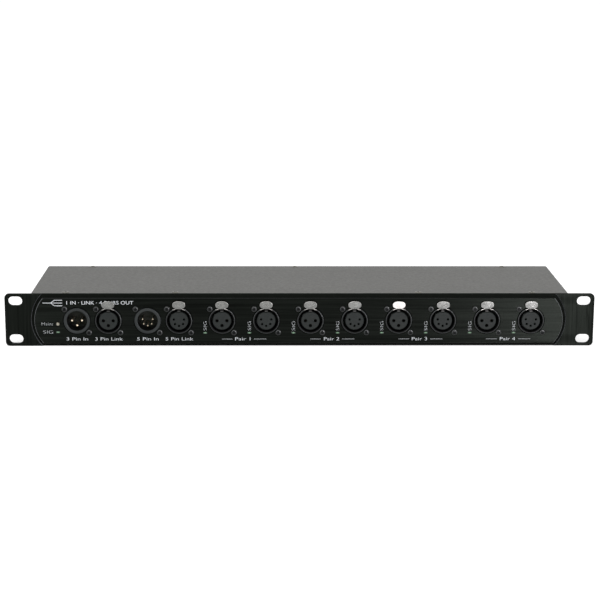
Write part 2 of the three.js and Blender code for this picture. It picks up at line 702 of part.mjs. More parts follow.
// The mains transformer: a laminated core with the wound bobbin standing out of its window
function transformer() {
  const { width, depth, headroom, windowShare, bobbinShare } = TRANSFORMER;
  const height = TRAY_TOP - headroom - BOARD_TOP;
  const x = SUPPLY.x - SUPPLY.width / 2 + STANDOFF_INSET + width / 2;
  const y = SUPPLY.front + SUPPLY.depth / 2;
  const core = block(about(x, width), about(y, depth * windowShare), [BOARD_TOP, BOARD_TOP + height]);
  const bobbin = block(
    about(x, width * windowShare), about(y, depth), about(BOARD_TOP + height / 2, height * bobbinShare),
  );
  return join(core, bobbin);
}

// The appliance inlet: bezel, body, shaped cavity with three blades, and the drawer's pocket
function mainsInlet() {
  const bezelY = BACK_Y + BEZEL_THICK;
  const bodyFrontY = BACK_Y - INLET_DEPTH;
  const cavityZ = INLET_HEIGHT / 2 - CAVITY_WALL - CAVITY.height / 2;
  const pocketZ = -INLET_HEIGHT / 2 + CAVITY_WALL + DRAWER.height / 2;
  const [cx0, cx1] = about(0, CAVITY.width);
  const [cz0, cz1] = about(cavityZ, CAVITY.height);
  const cavity = plate(polygon([
    [cx0, cz0], [cx1, cz0], [cx1, cz1 - CAVITY.chamfer], [cx1 - CAVITY.chamfer, cz1],
    [cx0 + CAVITY.chamfer, cz1], [cx0, cz1 - CAVITY.chamfer],
  ]), bezelY - CAVITY.depth, bezelY + OVERRUN);
  const pocket = block(
    about(0, DRAWER.width), [bezelY - DRAWER.depth, bezelY + OVERRUN], about(pocketZ, DRAWER.height),
  );
  const body = cut(
    join(
      block(about(0, INLET_WIDTH), [bodyFrontY, BACK_Y + BEZEL_THICK / 2], about(0, INLET_HEIGHT)),
      plate(roundedRect(
        0, 0, INLET_WIDTH + 2 * BEZEL_LIP, INLET_HEIGHT + 2 * BEZEL_LIP, BEZEL_CORNER_R,
      ), BACK_Y, bezelY),
    ),
    cavity,
    pocket,
  );
  const floorY = bezelY - CAVITY.depth;
  const bladePlaces = [-1, 0, 1].map((side) => [
    side * BLADE.spacing / 2, cavityZ + (side === 0 ? BLADE.earthRise / 2 : -BLADE.earthRise / 2),
  ]);
  const blades = bladePlaces.map(([x, z]) => block(
    about(x, BLADE.width), [floorY - CAVITY_WALL, floorY + BLADE.length], about(z, BLADE.height),
  ));
  const terminals = bladePlaces.map(([x, z]) => block(
    about(x, TERMINAL.thick),
    [bodyFrontY - TERMINAL.length, bodyFrontY + CAVITY_WALL],
    about(z, TERMINAL.width),
  ));
  return join(body, ...blades, ...terminals).translate([INLET_X, 0, AXIS_Z]);
}

// The drawer that slides out of the inlet with the fuse lying across it
function fuseDrawer() {
  const [z0, z1] = about(DRAWER_Z, DRAWER.height - 2 * DRAWER_GAP);
  const body = block(
    about(INLET_X, DRAWER.width - 2 * DRAWER_GAP),
    [DRAWER_FACE_Y - DRAWER.depth + DRAWER_GAP, DRAWER_FACE_Y],
    [z0, z1],
  );
  const grip = block(
    about(INLET_X, DRAWER.gripWidth),
    [DRAWER_FACE_Y - DRAWER.grip, DRAWER_FACE_Y + DRAWER.grip],
    [z1 - DRAWER.grip, z1],
  );
  const trough = block(
    about(INLET_X, FUSE.length + 2 * DRAWER_GAP), about(FUSE_Y, 2 * FUSE_R), [FUSE_Z - FUSE_R, z1 + OVERRUN],
  );
  return cut(join(body, grip), trough);
}

function fuse() {
  const half = FUSE.length / 2;
  const inner = half - FUSE.capLength;
  return turned([
    [0, -half], [FUSE.capR, -half], [FUSE.capR, -inner], [FUSE.glassR, -inner],
    [FUSE.glassR, inner], [FUSE.capR, inner], [FUSE.capR, half], [0, half],
  ], SMALL_SIDES).rotate([0, 0, 90]).translate([INLET_X, FUSE_Y, FUSE_Z]);
}

function switchBody() {
  const bezelY = BACK_Y + SWITCH_BEZEL;
  const shell = join(
    block(
      about(0, SWITCH_WIDTH), [BACK_Y - SWITCH_DEPTH, BACK_Y + SWITCH_BEZEL / 2], about(0, SWITCH_HEIGHT),
    ),
    plate(roundedRect(
      0, 0, SWITCH_WIDTH + BEZEL_LIP, SWITCH_HEIGHT + BEZEL_LIP, BEZEL_CORNER_R / 2,
    ), BACK_Y, bezelY),
  );
  const well = block(
    about(0, ROCKER.width + 2 * ROCKER_GAP),
    [ROCKER_PIVOT_Y - ROCKER.root - 2 * ROCKER_GAP - ROCKER.crown / 2, bezelY + OVERRUN],
    about(0, 2 * (ROCKER.endR + ROCKER_GAP)),
  );
  const terminals = [-1, 1].map((side) => block(
    about(0, TERMINAL.width),
    [BACK_Y - SWITCH_DEPTH - TERMINAL.length, BACK_Y - SWITCH_DEPTH + TERMINAL.thick],
    about(side * SWITCH_HEIGHT / 4, TERMINAL.thick),
  ));
  return join(cut(shell, well), ...terminals).translate([SWITCH_X, 0, AXIS_Z]);
}

// The rocker about its pivot: ends that are arcs round it, and a shallow V between them
function rocker() {
  const { width, endR, crown, root, tilt } = ROCKER;
  const rise = crown + endR * Math.tan(THREE.MathUtils.degToRad(tilt));
  const topAngle = Math.asin(rise / endR);
  const rootAngle = -Math.asin(root / endR);
  const shape = new THREE.Shape();
  shape.moveTo(crown, 0);
  for (let i = 0; i <= CORNER_STEPS; i += 1) {
    const angle = topAngle + (rootAngle - topAngle) * i / CORNER_STEPS;
    shape.lineTo(endR * Math.sin(angle), endR * Math.cos(angle));
  }
  for (let i = CORNER_STEPS; i >= 0; i -= 1) {
    const angle = topAngle + (rootAngle - topAngle) * i / CORNER_STEPS;
    shape.lineTo(endR * Math.sin(angle), -endR * Math.cos(angle));
  }
  shape.closePath();
  return sideways(shape, width);
}

const MATERIALS = {
  panel_black: { color: 0x1b1d1e, roughness: 0.38, metalness: 0.75 },
  case_paint: { color: 0x3a3b3a, roughness: 0.55, metalness: 0.2 },
  shell_metal: { color: 0x2b2d2f, roughness: 0.42, metalness: 0.7 },
  insert_plastic: { color: 0x2a2e31, roughness: 0.6, metalness: 0 },
  latch_metal: { color: 0xb9b8b2, roughness: 0.32, metalness: 0.95 },
  lamp_green: { color: 0x5f9470, roughness: 0.3, metalness: 0 },
  lamp_clear: { color: 0xd8d2b4, roughness: 0.3, metalness: 0 },
  board_green: { color: 0x1f5a38, roughness: 0.5, metalness: 0 },
  core_steel: { color: 0x6d6a64, roughness: 0.5, metalness: 0.7 },
  black_plastic: { color: 0x161616, roughness: 0.45, metalness: 0 },
  fuse_glass: { color: 0xc9ccc6, roughness: 0.15, metalness: 0.2 },
};

function material(name) {
  return new THREE.MeshStandardMaterial(MATERIALS[name]);
}

function addPart(group, name, solid, look) {
  const mesh = new THREE.Mesh(toGeometry(solid), look);
  mesh.name = name;
  group.add(mesh);
  return mesh;
}

function addSockets(group) {
  const shells = { male: socketShell(true), female: socketShell(false) };
  const inserts = {
    male: { 3: maleInsert(3), 5: maleInsert(5) },
    female: { 3: femaleInsert(3), 5: femaleInsert(5) },
  };
  const latchSolid = latch();
  const looks = {
    shell: material('shell_metal'),
    insert: material('insert_plastic'),
    latch: material('latch_metal'),
  };
  for (const socket of SOCKETS) {
    const kind = socket.male ? 'male' : 'female';
    const place = new THREE.Group();
    place.position.set(socket.x, 0, AXIS_Z);
    group.add(place);
    addPart(place, `${socket.name}_shell`, shells[kind], looks.shell);
    addPart(place, `${socket.name}_insert`, inserts[kind][socket.contacts], looks.insert);
    if (!socket.male) addPart(place, `${socket.name}_latch`, latchSolid, looks.latch);
  }
}

function addLamps(group) {
  const solids = { round: roundLamp(), square: squareLamp() };
  const looks = { round: material('lamp_clear'), square: material('lamp_green') };
  for (const lamp of LAMPS) {
    const kind = lamp.round ? 'round' : 'square';
    addPart(group, lamp.name, solids[kind], looks[kind]).position.set(lamp.x, 0, lamp.z);
  }
}

function buildSplitter() {
  const splitter = new THREE.Group();
  const assembly = new THREE.Group();
  assembly.position.y = -TRAY_MID_Y;
  splitter.add(assembly);

  addPart(assembly, 'front_panel', frontPanel(), material('panel_black'));
  const caseLook = material('case_paint');
  addPart(assembly, 'chassis_tray', chassisTray(), caseLook);
  addPart(assembly, 'front_frame', frontFrame(), caseLook);
  addPart(assembly, 'rear_panel', rearPanel(), caseLook);
  addPart(assembly, 'top_cover', topCover(), caseLook);
  addSockets(assembly);
  addLamps(assembly);
  const boardLook = material('board_green');
  addPart(assembly, 'socket_board', socketBoard(), boardLook);
  addPart(assembly, 'logic_board', logicBoard(), boardLook);
  addPart(assembly, 'supply_board', supplyBoard(), boardLook);
  addPart(assembly, 'mains_transformer', transformer(), material('core_steel'));
  addPart(assembly, 'mains_inlet', mainsInlet(), material('black_plastic'));
  addPart(assembly, 'fuse_drawer', fuseDrawer(), material('black_plastic'));
  addPart(assembly, 'fuse', fuse(), material('fuse_glass'));
  addPart(assembly, 'switch_body', switchBody(), material('black_plastic'));
  const rockerMesh = addPart(assembly, 'power_rocker', rocker(), material('black_plastic'));
  rockerMesh.position.set(SWITCH_X, ROCKER_PIVOT_Y, AXIS_Z);
  rockerMesh.rotation.x = THREE.MathUtils.degToRad(ROCKER.tilt);
  return splitter;
}

const splitter = buildSplitter();

export default splitter;
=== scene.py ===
"""Looks for the rack splitter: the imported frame, dressed with fine-sided pieces and finishes.

Sizes are millimetres, in the frame's directions: X to the right, Y back into the rack, Z up.
A socket's pieces are drawn round its own axis, with Y measured from the ears' front face.
"""

import math

import bmesh
import bpy
from mathutils import Matrix, Vector


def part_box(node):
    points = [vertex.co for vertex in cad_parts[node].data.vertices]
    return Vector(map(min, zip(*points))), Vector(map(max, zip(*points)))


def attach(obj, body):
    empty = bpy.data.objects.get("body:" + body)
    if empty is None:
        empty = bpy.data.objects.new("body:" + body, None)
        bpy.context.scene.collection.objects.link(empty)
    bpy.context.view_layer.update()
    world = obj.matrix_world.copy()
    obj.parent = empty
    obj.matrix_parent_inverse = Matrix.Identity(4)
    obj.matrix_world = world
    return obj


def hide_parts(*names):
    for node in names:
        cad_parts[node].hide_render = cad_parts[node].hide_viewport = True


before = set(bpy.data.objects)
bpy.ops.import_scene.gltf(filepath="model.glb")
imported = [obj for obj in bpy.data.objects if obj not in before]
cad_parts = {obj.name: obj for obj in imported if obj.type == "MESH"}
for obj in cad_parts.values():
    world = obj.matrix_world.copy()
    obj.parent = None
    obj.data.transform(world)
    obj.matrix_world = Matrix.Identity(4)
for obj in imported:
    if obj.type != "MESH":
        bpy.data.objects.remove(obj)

MM = 0.001
WELD = 1e-4
SMOOTH_ANGLE = 32

# Front panel
PANEL_THICK = 3.0
PANEL_CORNER_R = 3.4
PANEL_EDGE = 0.4
FIELD_EDGE = 0.6
SLOT_LENGTH = 11.4
SLOT_HEIGHT = 7.4
SLOT_EDGE_X = 8.75
SLOT_EDGE_Z = 5.975
FIELD_PROUD = 3.0
FIELD_BACK = 2.0
FIELD_END_MARGIN = 24.3
FIELD_EDGE_MARGIN = 2.9
FIELD_ARC_R = 28.7
RIGHT_ARC_INSET = 1.8
CHANNEL_WIDTH = 2.5
CHANNEL_DEPTH = 1.2
CHANNEL_EASE = 0.6
POCKET_RIM = 2.6
OVERRUN = 2.0
# Of these, edge, chamfer and top_edge are painted highlights on bevels, and channel is painted
# shade in the groove.
PANEL_LOOKS = ["field", "ear", "channel", "edge", "chamfer", "top_edge"]

# Shares of a panel face's normal along an axis
FACING = 0.98
HARDLY_FACING = 0.1
LEANING = 0.2

# Sockets
RING_R = 10.75
BORE_R = 9.65
RING_PROUD = 0.8
RING_ROUND = 0.4
HOLE_CLEARANCE = 0.65
FEMALE_BORE_ROUND = 0.3
MALE_BORE_R = 8.15
MALE_BORE_ROUND = 0.5
SHELL_LENGTH = 16.85
FLANGE_SIZE = 23.8
FLANGE_THICK = 2.0
FLANGE_CORNER_R = 2.6
FLANGE_HOLE_R = 1.25
INSERT_R = 7.55
INSERT_RECESS = 0.5
INSERT_CHAMFER = 0.3
WELL_CHAMFER = 0.12
BASE_R = 9.3
BASE_THICK = 2.8
BASE_GAP = 0.35
SOCKET_DEPTH = 13.7
KEY_WIDTH = 1.7
KEY_HEIGHT = 0.4
KEY_EDGE = 0.15
KEY_ANGLE = 139
CONTACTS = {
    3: {"circle": 4.05, "hole": 1.35, "pin": 1.15, "angles": (180, -90, 0)},
    5: {"circle": 4.3, "hole": 0.92, "pin": 0.68, "angles": (165, -140, -90, -40, 15)},
}
CONTACT_DEPTH = 10.0
SLEEVE_INSET = 7.0
SLEEVE_WALL = 0.25
SLEEVE_GAP = 0.0625
PIN_LENGTH = 12.4
TAIL_LENGTH = 0.65
TAIL_R = 0.5

# Push latch
TAB_WIDTH = 10.4
TAB_HEIGHT = 6.1
TAB_RISE = 13.55
TAB_FULLNESS = 2.5
LATCH_METAL = 0.8
LATCH_STANDOFF = 1.5
LATCH_EDGE = 0.3
LATCH_GAP = 0.35
LATCH_TRAVEL = 1.7
NECK_WIDTH = 5.4
FOOT_SPREAD = 10.4
FOOT_TIP = 0.6
FOOT_OVERLAP = 0.3
ARM_LENGTH = 11.5
NOSE_WIDTH = 2.4
NOSE_BACK = 8.7
NOSE_LENGTH = 6.0
NOSE_POST = 2.0
NOSE_REACH = 0.25
NOSE_HEIGHT = 0.9
NOSE_ROUND = 0.25
NOTCH_TOP = 13.45
RAIL_WIDTH = 1.0
RIB_LENGTHS = (4.2, 5.6, 4.2)
RIB_PITCH = 1.25
RIB_HEIGHT = 0.5
RIB_PROUD = 0.12
RIB_EDGE = 0.8 * RIB_PROUD

# Shares of a latch face's normal along -Y
TAB_FRONT = 0.95
NOSE_FRONT = 0.5

# The latch that catches the light in the photograph
BRIGHT_LATCH = "output3_3pin"

# Lamps
LAMP_WIDTH = 3.0
LAMP_HEIGHT = 1.4
LAMP_PROUD = 0.15
LAMP_ROUND = 0.25
LAMP_HOLE_GAP = 0.1
POWER_LAMP_R = 1.5
POWER_LAMP_RISE = 0.75
POWER_HOLE_GAP = 0.4

# Screws
SOCKET_SCREW_R = 2.4
SOCKET_SCREW_RISE = 0.9
SOCKET_SCREW_OFFSET = 9.8
LID_SCREW_R = 2.9
LID_SCREW_RISE = 0.55
FRONT_LID_SCREWS_X = (-192.2, -102.5, 96.9, 190.7)
FRONT_LID_SCREW_INSET = 4.8
REAR_LID_SCREWS_X = (-181.0, -3.0, 180.0)
REAR_LID_SCREW_INSET = 3.2
SCREW_TURN = 37
SCREW_SEAT = 0.05
CROSS_OVERRUN = 1.0

# Shares of a screw head's radius and rise
RIM_SHARE = 0.78
SCREW_DOME = ((0, 1), (0.62, 0.98), (0.8, 0.84), (0.93, 0.52), (1, 0.1))
CROSS_LENGTH = 1.1
CROSS_WIDTH = 0.3
CROSS_FLOOR = 0.25

# Case and cover
SHEET = 1.2
COVER_LIP = 9.0
COVER_BEND_R = 1.9
SHEET_EDGE = 0.15

# Eased edges of CAD shapes
FLAT_ANGLE = 1
EASE_SEGMENTS = 2
EASE_PROFILE = 0.7

# Rear fittings
FITTING_EDGE = 0.2
INLET_CAVITY_DEPTH = 16.2
TERMINAL_LENGTH = 8.0
# Each blade's X from the inlet's middle, and Z
BLADES = ((-7.0, 26.05), (0.0, 30.05), (7.0, 26.05))
BLADE_REACH_X = 1.2
BLADE_REACH_Z = 2.1
MARK_LINE = 0.45
MARK_LENGTH = 2.8
MARK_FACING = 0.9

# Legends on the field
LEGEND_THICK = 0.04
CAPITAL_SHARE = 0.7
LABEL_HEIGHT = 2.7
LABEL_Z = 6.5
LABELS = {
    "input_3pin": ("3 Pin In", 17.5),
    "through_3pin": ("3 Pin Link", 22.5),
    "input_5pin": ("5 Pin In", 17.5),
    "through_5pin": ("5 Pin Link", 22.5),
}
BRACKET_LEFT = 8.5
BRACKET_RIGHT = 10.0
BRACKET_LINE = 0.2
PAIR_WIDTH = 12.5
THINNER = 0.035
FINE = 0.1
SIDE_LABEL_OFFSET = 13.7
SIDE_LABEL_Z = 17.6
SIDE_LABEL_HEIGHT = 2.6
SIDE_LABEL_WIDTH = 7.6
TITLE_Z = 36.8
TITLE_LEFT = -191.5
TITLE_WIDTH = 54.3
TITLE_HEIGHT = 2.9
FORK_LEFT = -209.6
FORK_WIDTH = 15.5
FORK_HEIGHT = 4.6
FORK_LINE = 0.5
FORK_KNEE = 0.4
FORK_BEND = 0.6
STATUS_LABEL_GAP = 3.6
MAINS_WIDTH = 9.3
SIG_WIDTH = 7.8

# Roundness
RING_SIDES = 96
PIN_SIDES = 24
CORNER_STEPS = 6
ARC_STEPS = 40
EDGE_STEPS = 3
LETTER_STEPS = 4
STROKE_STEPS = 4
DOME_ANGLES = range(15, 91, 15)

# The camera that fits the photograph's slots, panel edges and lid corners
CAMERA_PLACE = (-0.02451, -1.36416, 0.33586)
CAMERA_YAW = 1.0609
CAMERA_PITCH = 12.8297
CAMERA_ROLL = 0.2175
CAMERA_LENS = 98.29
SENSOR = 36.0

# Stage, in metres. Lamps: place, target, size, power in watts, whether only for gloss, and tint
FLOOR_SIZE = 60
FLOOR_DROP = 0.0002
FLOOR_COLOR = (0.8, 0.8, 0.8, 1)
FLOOR_ROUGHNESS = 0.9
FLOOR_GLOW = 0.6
WORLD_LIGHT = 0.5
WORLD_SEEN = 1.0
LIGHTS = {
    "key": ((-0.5, -1.3, 1.7), (0, 0, 0.02), (1.6, 1.0), 22),
    "side": ((1.5, -1.2, 0.9), (0.2, 0, 0.02), (0.9, 0.9), 8),
    "low_right": ((0.52, -1.2, 0.1), (0.2, 0, 0.02), (0.3, 0.15), 16, True, (1, 0.955, 1)),
    "low_left": ((-0.55, -1.2, 0.1), (-0.2, 0, 0.02), (0.3, 0.15), 3, True),
}

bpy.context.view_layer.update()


def box_mm(node):
    """The low and the high corner of a CAD node, in millimetres."""
    low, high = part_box(node)
    return low / MM, high / MM


# Places that the frame gives, in millimetres
PANEL_LOW, PANEL_HIGH = box_mm("front_panel")
COVER_LOW, COVER_HIGH = box_mm("top_cover")
AXIS_Z = (PANEL_LOW.z + PANEL_HIGH.z) / 2
EAR_Y = PANEL_LOW.y + FIELD_PROUD
FIELD_Y = -FIELD_PROUD
RING_Y = FIELD_Y - RING_PROUD
BASE_Y = RING_Y + SOCKET_DEPTH
LATCH_Y = FIELD_Y - LATCH_STANDOFF - LATCH_METAL
FIELD_HALF = AXIS_Z - FIELD_EDGE_MARGIN
ARC_X = PANEL_HIGH.x - FIELD_END_MARGIN - FIELD_ARC_R
RIGHT_ARC_X = ARC_X - RIGHT_ARC_INSET
CHANNEL_R = FIELD_ARC_R + CHANNEL_WIDTH
SHELL_BACK_Y = RING_Y + SHELL_LENGTH
INSERT_Y = RING_Y + INSERT_RECESS
BASE_BACK_Y = BASE_Y + BASE_THICK
NOTCH_HALF = NECK_WIDTH / 2 + LATCH_GAP
ARM_BACK_Y = LATCH_Y + ARM_LENGTH
NOSE_BACK_Y = LATCH_Y + NOSE_BACK
NOSE_TIP_Z = INSERT_R - NOSE_REACH
NOSE_SLOT_WIDTH = NOSE_WIDTH + 2 * LATCH_GAP


# Mesh building

def finished(bm, name):
    """The bmesh as a mesh, welded, with smooth faces and sharp corners."""
    bmesh.ops.remove_doubles(bm, verts=bm.verts, dist=WELD)
    bmesh.ops.recalc_face_normals(bm, faces=bm.faces)
    mesh = bpy.data.meshes.new(name)
    bm.to_mesh(mesh)
    bm.free()
    return smoothed(mesh)


def smoothed(mesh):
    mesh.polygons.foreach_set("use_smooth", [True] * len(mesh.polygons))
    mesh.set_sharp_from_angle(angle=math.radians(SMOOTH_ANGLE))
    return mesh


def evaluated_mesh(holder):
    """The final mesh of an object made only for this, which is then removed."""
    bpy.context.scene.collection.objects.link(holder)
    graph = bpy.context.evaluated_depsgraph_get()
    mesh = bpy.data.meshes.new_from_object(holder.evaluated_get(graph))
    bpy.data.objects.remove(holder)
    return mesh


def combined(mesh, tool, operation):
    """A closed mesh joined with another, or cut by it."""
    other = bpy.data.objects.new("tool", tool)
    bpy.context.scene.collection.objects.link(other)
    holder = bpy.data.objects.new("solid", mesh)
    modifier = holder.modifiers.new("combine", "BOOLEAN")
    modifier.solver = "MANIFOLD"
    modifier.operation = operation
    modifier.object = other
    result = evaluated_mesh(holder)
    bpy.data.objects.remove(other)
    return smoothed(result)


def joined(mesh, *tools):
    for tool in tools:
        mesh = combined(mesh, tool, "UNION")
    return mesh


def cut(mesh, *tools):
    for tool in tools:
        mesh = combined(mesh, tool, "DIFFERENCE")
    return mesh


def moved(mesh, x, z):
    """A copy of the mesh somewhere else."""
    copy = mesh.copy()
    copy.transform(Matrix.Translation((x, 0, z)))
    return copy


def turned_about(mesh, axis, degrees):
    copy = mesh.copy()
    copy.transform(Matrix.Rotation(math.radians(degrees), 4, axis))
    return copy


def gathered(name, meshes):
    """Several separate solids in one mesh."""
    bm = bmesh.new()
    for mesh in meshes:
        bm.from_mesh(mesh)
    result = bpy.data.meshes.new(name)
    bm.to_mesh(result)
    bm.free()
    return smoothed(result)


def plate(loops, front, back, bevel=0.0, steps=EDGE_STEPS):
    """A plate between two planes along Y, from an outline in X and Z and the holes in it."""
    curve = bpy.data.curves.new("outline", "CURVE")
    curve.dimensions = "2D"
    curve.fill_mode = "BOTH"
    curve.extrude = (back - front) / 2 - bevel
    curve.bevel_depth = bevel
    curve.bevel_resolution = steps
    curve.offset = -bevel
    for loop in loops:
        spline = curve.splines.new("POLY")
        spline.points.add(len(loop) - 1)
        for point, (x, z) in zip(spline.points, loop):
            point.co = (x, z, 0, 1)
        spline.use_cyclic_u = True
    mesh = evaluated_mesh(bpy.data.objects.new("outline", curve))
    upright = Matrix.Rotation(math.pi / 2, 4, "X")
    mesh.transform(Matrix.Translation((0, (front + back) / 2, 0)) @ upright)
    bm = bmesh.new()
    bm.from_mesh(mesh)
    return finished(bm, "plate")


def block(x_span, y_span, z_span, bevel=0.0):
    """A block between two corners, with eased edges where a bevel is given."""
    (x0, x1), (z0, z1) = x_span, z_span
    return plate([[(x0, z0), (x1, z0), (x1, z1), (x0, z1)]], *y_span, bevel=bevel)


def lathe(profile, sides=RING_SIDES):
    """A profile of (radius, y) points turned round the Y axis. Off the axis it closes on itself."""
    bm = bmesh.new()
    angles = [math.tau * i / sides for i in range(sides)]
    rings = []
    for radius, y in profile:
        if radius == 0:
            rings.append([bm.verts.new((0, y, 0))] * sides)
        else:
            points = [(radius * math.cos(a), y, radius * math.sin(a)) for a in angles]
            rings.append([bm.verts.new(point) for point in points])
    pairs = list(zip(rings, rings[1:]))
    if profile[0][0] > 0:
        pairs.append((rings[-1], rings[0]))
    for low, high in pairs:
        for i in range(sides):
            corners = [low[i - 1], low[i], high[i], high[i - 1]]
            distinct = list(dict.fromkeys(corners))
            if len(distinct) > 2:
                bm.faces.new(distinct)
    return finished(bm, "turned")


def about(middle, width):
    return (middle - width / 2, middle + width / 2)


def arc(x, z, radius, start, end, steps):
    """Points along an arc in degrees."""
    points = []
    for i in range(steps + 1):
        angle = math.radians(start + (end - start) * i / steps)
        points.append((x + radius * math.cos(angle), z + radius * math.sin(angle)))
    return points


def circle(x, z, radius, sides=RING_SIDES):
    return arc(x, z, radius, 0, 360, sides)[:-1]


def rounded_rect(x, z, width, height, radius, steps=CORNER_STEPS):
    (x0, x1), (z0, z1) = about(x, width), about(z, height)
    return (
        arc(x1 - radius, z0 + radius, radius, -90, 0, steps)
        + arc(x1 - radius, z1 - radius, radius, 0, 90, steps)
        + arc(x0 + radius, z1 - radius, radius, 90, 180, steps)
        + arc(x0 + radius, z0 + radius, radius, 180, 270, steps)
    )


def rounded_corner(radius, y, ease, outward):
    """Profile points of a front corner. Outward is 1 for an outer edge and -1 for a bore's."""
    points = []
    for i in range(EDGE_STEPS + 1):
        angle = math.radians(90 * i / EDGE_STEPS)
        r = radius - outward * ease * (1 - math.cos(angle))
        points.append((r, y + ease * (1 - math.sin(angle))))
    return points


def domed_bar(radius, tip, rise, back):
    """A round bar along Y, with a domed front end of some rise."""
    nose = []
    for degrees in DOME_ANGLES:
        angle = math.radians(degrees)
        nose.append((radius * math.sin(angle), tip + rise * (1 - math.cos(angle))))
    return lathe([(0, tip), *nose, (radius, back), (0, back)], PIN_SIDES)


# Finishes

def srgb(red, green, blue):
    """A colour as it looks on a screen, 0 to 255, as the linear values that shaders take."""
    def linear(value):
        share = value / 255
        return share / 12.92 if share <= 0.04045 else ((share + 0.055) / 1.055) ** 2.4
    return (linear(red), linear(green), linear(blue), 1.0)


def fill(tree, node, inputs):
    """Sets a node's inputs, each to a value or to another node's output."""
    for key, value in inputs.items():
        if isinstance(value, bpy.types.NodeSocket):
            tree.links.new(value, node.inputs[key])
        else:
            node.inputs[key].default_value = value


def add_node(tree, kind, inputs, **settings):
    node = tree.nodes.new(kind)
    for setting, value in settings.items():
        setattr(node, setting, value)
    fill(tree, node, inputs)
    return node


class Finish:
    """A procedural material, put together step by step. Its colour is as a screen shows it."""

    def __init__(self, name, color, roughness, metallic=0.0, **sockets):
        self.material = bpy.data.materials.new(name)
        self.material.use_nodes = True
        self.tree = self.material.node_tree
        self.shader = self.tree.nodes["Principled BSDF"]
        self.color = srgb(*color)
        self.roughness = roughness
        inputs = {"Base Color": self.color, "Roughness": roughness, "Metallic": metallic}
        self.set({**inputs, **sockets})
        self.place = self.add("ShaderNodeTexCoord", {}).outputs["Object"]

    def set(self, inputs):
        fill(self.tree, self.shader, inputs)

    def add(self, kind, inputs, **settings):
        return add_node(self.tree, kind, inputs, **settings)

    def noise(self, scale, detail=3.0, stretch=(1, 1, 1)):
        """Noise in the piece's own space. The scale is features per metre, times the stretch."""
        mapping = self.add("ShaderNodeMapping", {"Vector": self.place, "Scale": stretch})
        inputs = {"Vector": mapping.outputs["Vector"], "Scale": scale, "Detail": detail}
        return self.add("ShaderNodeTexNoise", inputs).outputs["Fac"]

    def spread(self, source, low, high):
        """The middle of a noise stretched over a range of values."""
        inputs = {"Value": source, "From Min": 0.3, "From Max": 0.7, "To Min": low, "To Max": high}
        return self.add("ShaderNodeMapRange", inputs).outputs["Result"]

    def vary_color(self, source, low, high):
        """The base colour times a value that follows the noise."""
        base = self.shader.inputs["Base Color"]
        before = base.links[0].from_socket if base.is_linked else self.color
        inputs = {"Fac": 1.0, "Color1": before, "Color2": self.spread(source, low, high)}
        mix = self.add("ShaderNodeMixRGB", inputs, blend_type="MULTIPLY")
        self.set({"Base Color": mix.outputs["Color"]})

    def vary_roughness(self, source, by):
        self.set({"Roughness": self.spread(source, self.roughness - by, self.roughness + by)})

    def bump(self, source, height):
        """Relief of a real height, in millimetres."""
        inputs = {"Height": source, "Distance": height * MM, "Strength": 1.0}
        self.set({"Normal": self.add("ShaderNodeBump", inputs).outputs["Normal"]})


def brushed(name, color, roughness, along, spread, streaks):
    """Anodised aluminium, with brush lines along one axis that spread a highlight across them."""
    turn = {"Anisotropic": spread, "Anisotropic Rotation": 0.25 if along == "X" else 0.0}
    finish = Finish(name, color, roughness, metallic=1.0, **turn)
    long = 0.012
    stretch = (long, 1, 1) if along == "X" else (1, 1, long)
    lines = finish.noise(scale=3200, detail=2.0, stretch=stretch)
    broad = finish.noise(scale=700, detail=5.0, stretch=stretch)
    finish.vary_color(lines, low=0.75, high=1.25)
    finish.vary_color(broad, low=1 - streaks, high=1 + streaks)
    finish.vary_roughness(broad, by=0.06)
    finish.bump(lines, height=0.012)
    return finish.material


def plain_metal(name, color, roughness, depth=0.004, metallic=1.0):
    """Metal with a fine even grain and slight stains."""
    finish = Finish(name, color, roughness, metallic=metallic)
    finish.vary_color(finish.noise(scale=90), low=0.88, high=1.1)
    finish.vary_roughness(finish.noise(scale=260), by=0.07)
    finish.bump(finish.noise(scale=1500), height=depth)
    return finish.material


def powder_coat(name, color, roughness):
    """Baked paint with a fine orange-peel texture."""
    finish = Finish(name, color, roughness)
    finish.vary_color(finish.noise(scale=800, detail=2.0), low=0.8, high=1.2)
    finish.vary_color(finish.noise(scale=45), low=0.95, high=1.05)
    finish.vary_roughness(finish.noise(scale=300), by=0.05)
    finish.bump(finish.noise(scale=1600, detail=2.0), height=0.02)
    return finish.material


def moulded(name, color, roughness, sheen):
    """Moulded plastic with a light spark-eroded grain. Sheen is how strongly it reflects."""
    finish = Finish(name, color, roughness, **{"Specular IOR Level": sheen})
    finish.vary_color(finish.noise(scale=140), low=0.9, high=1.1)
    finish.vary_roughness(finish.noise(scale=500), by=0.06)
    finish.bump(finish.noise(scale=900, detail=2.0), height=0.008)
    return finish.material


def lamp_lens(name, middle, rim):
    """A moulded lens, pale in its middle and deep at its rim."""
    finish = Finish(name, middle, roughness=0.22, **{"Coat Weight": 0.4})
    whole = finish.add("ShaderNodeTexCoord", {}).outputs["Generated"]
    inputs = {"Vector": whole, "Location": (-1, -1, -1), "Scale": (2, 2, 2)}
    centred = finish.add("ShaderNodeMapping", inputs).outputs["Vector"]
    inputs = {0: centred, 1: (1, 0, 1)}
    flat = finish.add("ShaderNodeVectorMath", inputs, operation="MULTIPLY").outputs["Vector"]
    distance = finish.add("ShaderNodeVectorMath", {0: flat}, operation="LENGTH").outputs["Value"]
    ramp = finish.add("ShaderNodeValToRGB", {"Fac": distance})
    stops = ((0.15, srgb(*middle)), (1.0, srgb(*rim)))
    for element, (position, color) in zip(ramp.color_ramp.elements, stops):
        element.position = position
        element.color = color
    finish.set({"Base Color": ramp.outputs["Color"]})
    finish.vary_color(finish.noise(scale=900, detail=2.0), low=0.85, high=1.15)
    finish.bump(finish.noise(scale=900), height=0.01)
    return finish.material


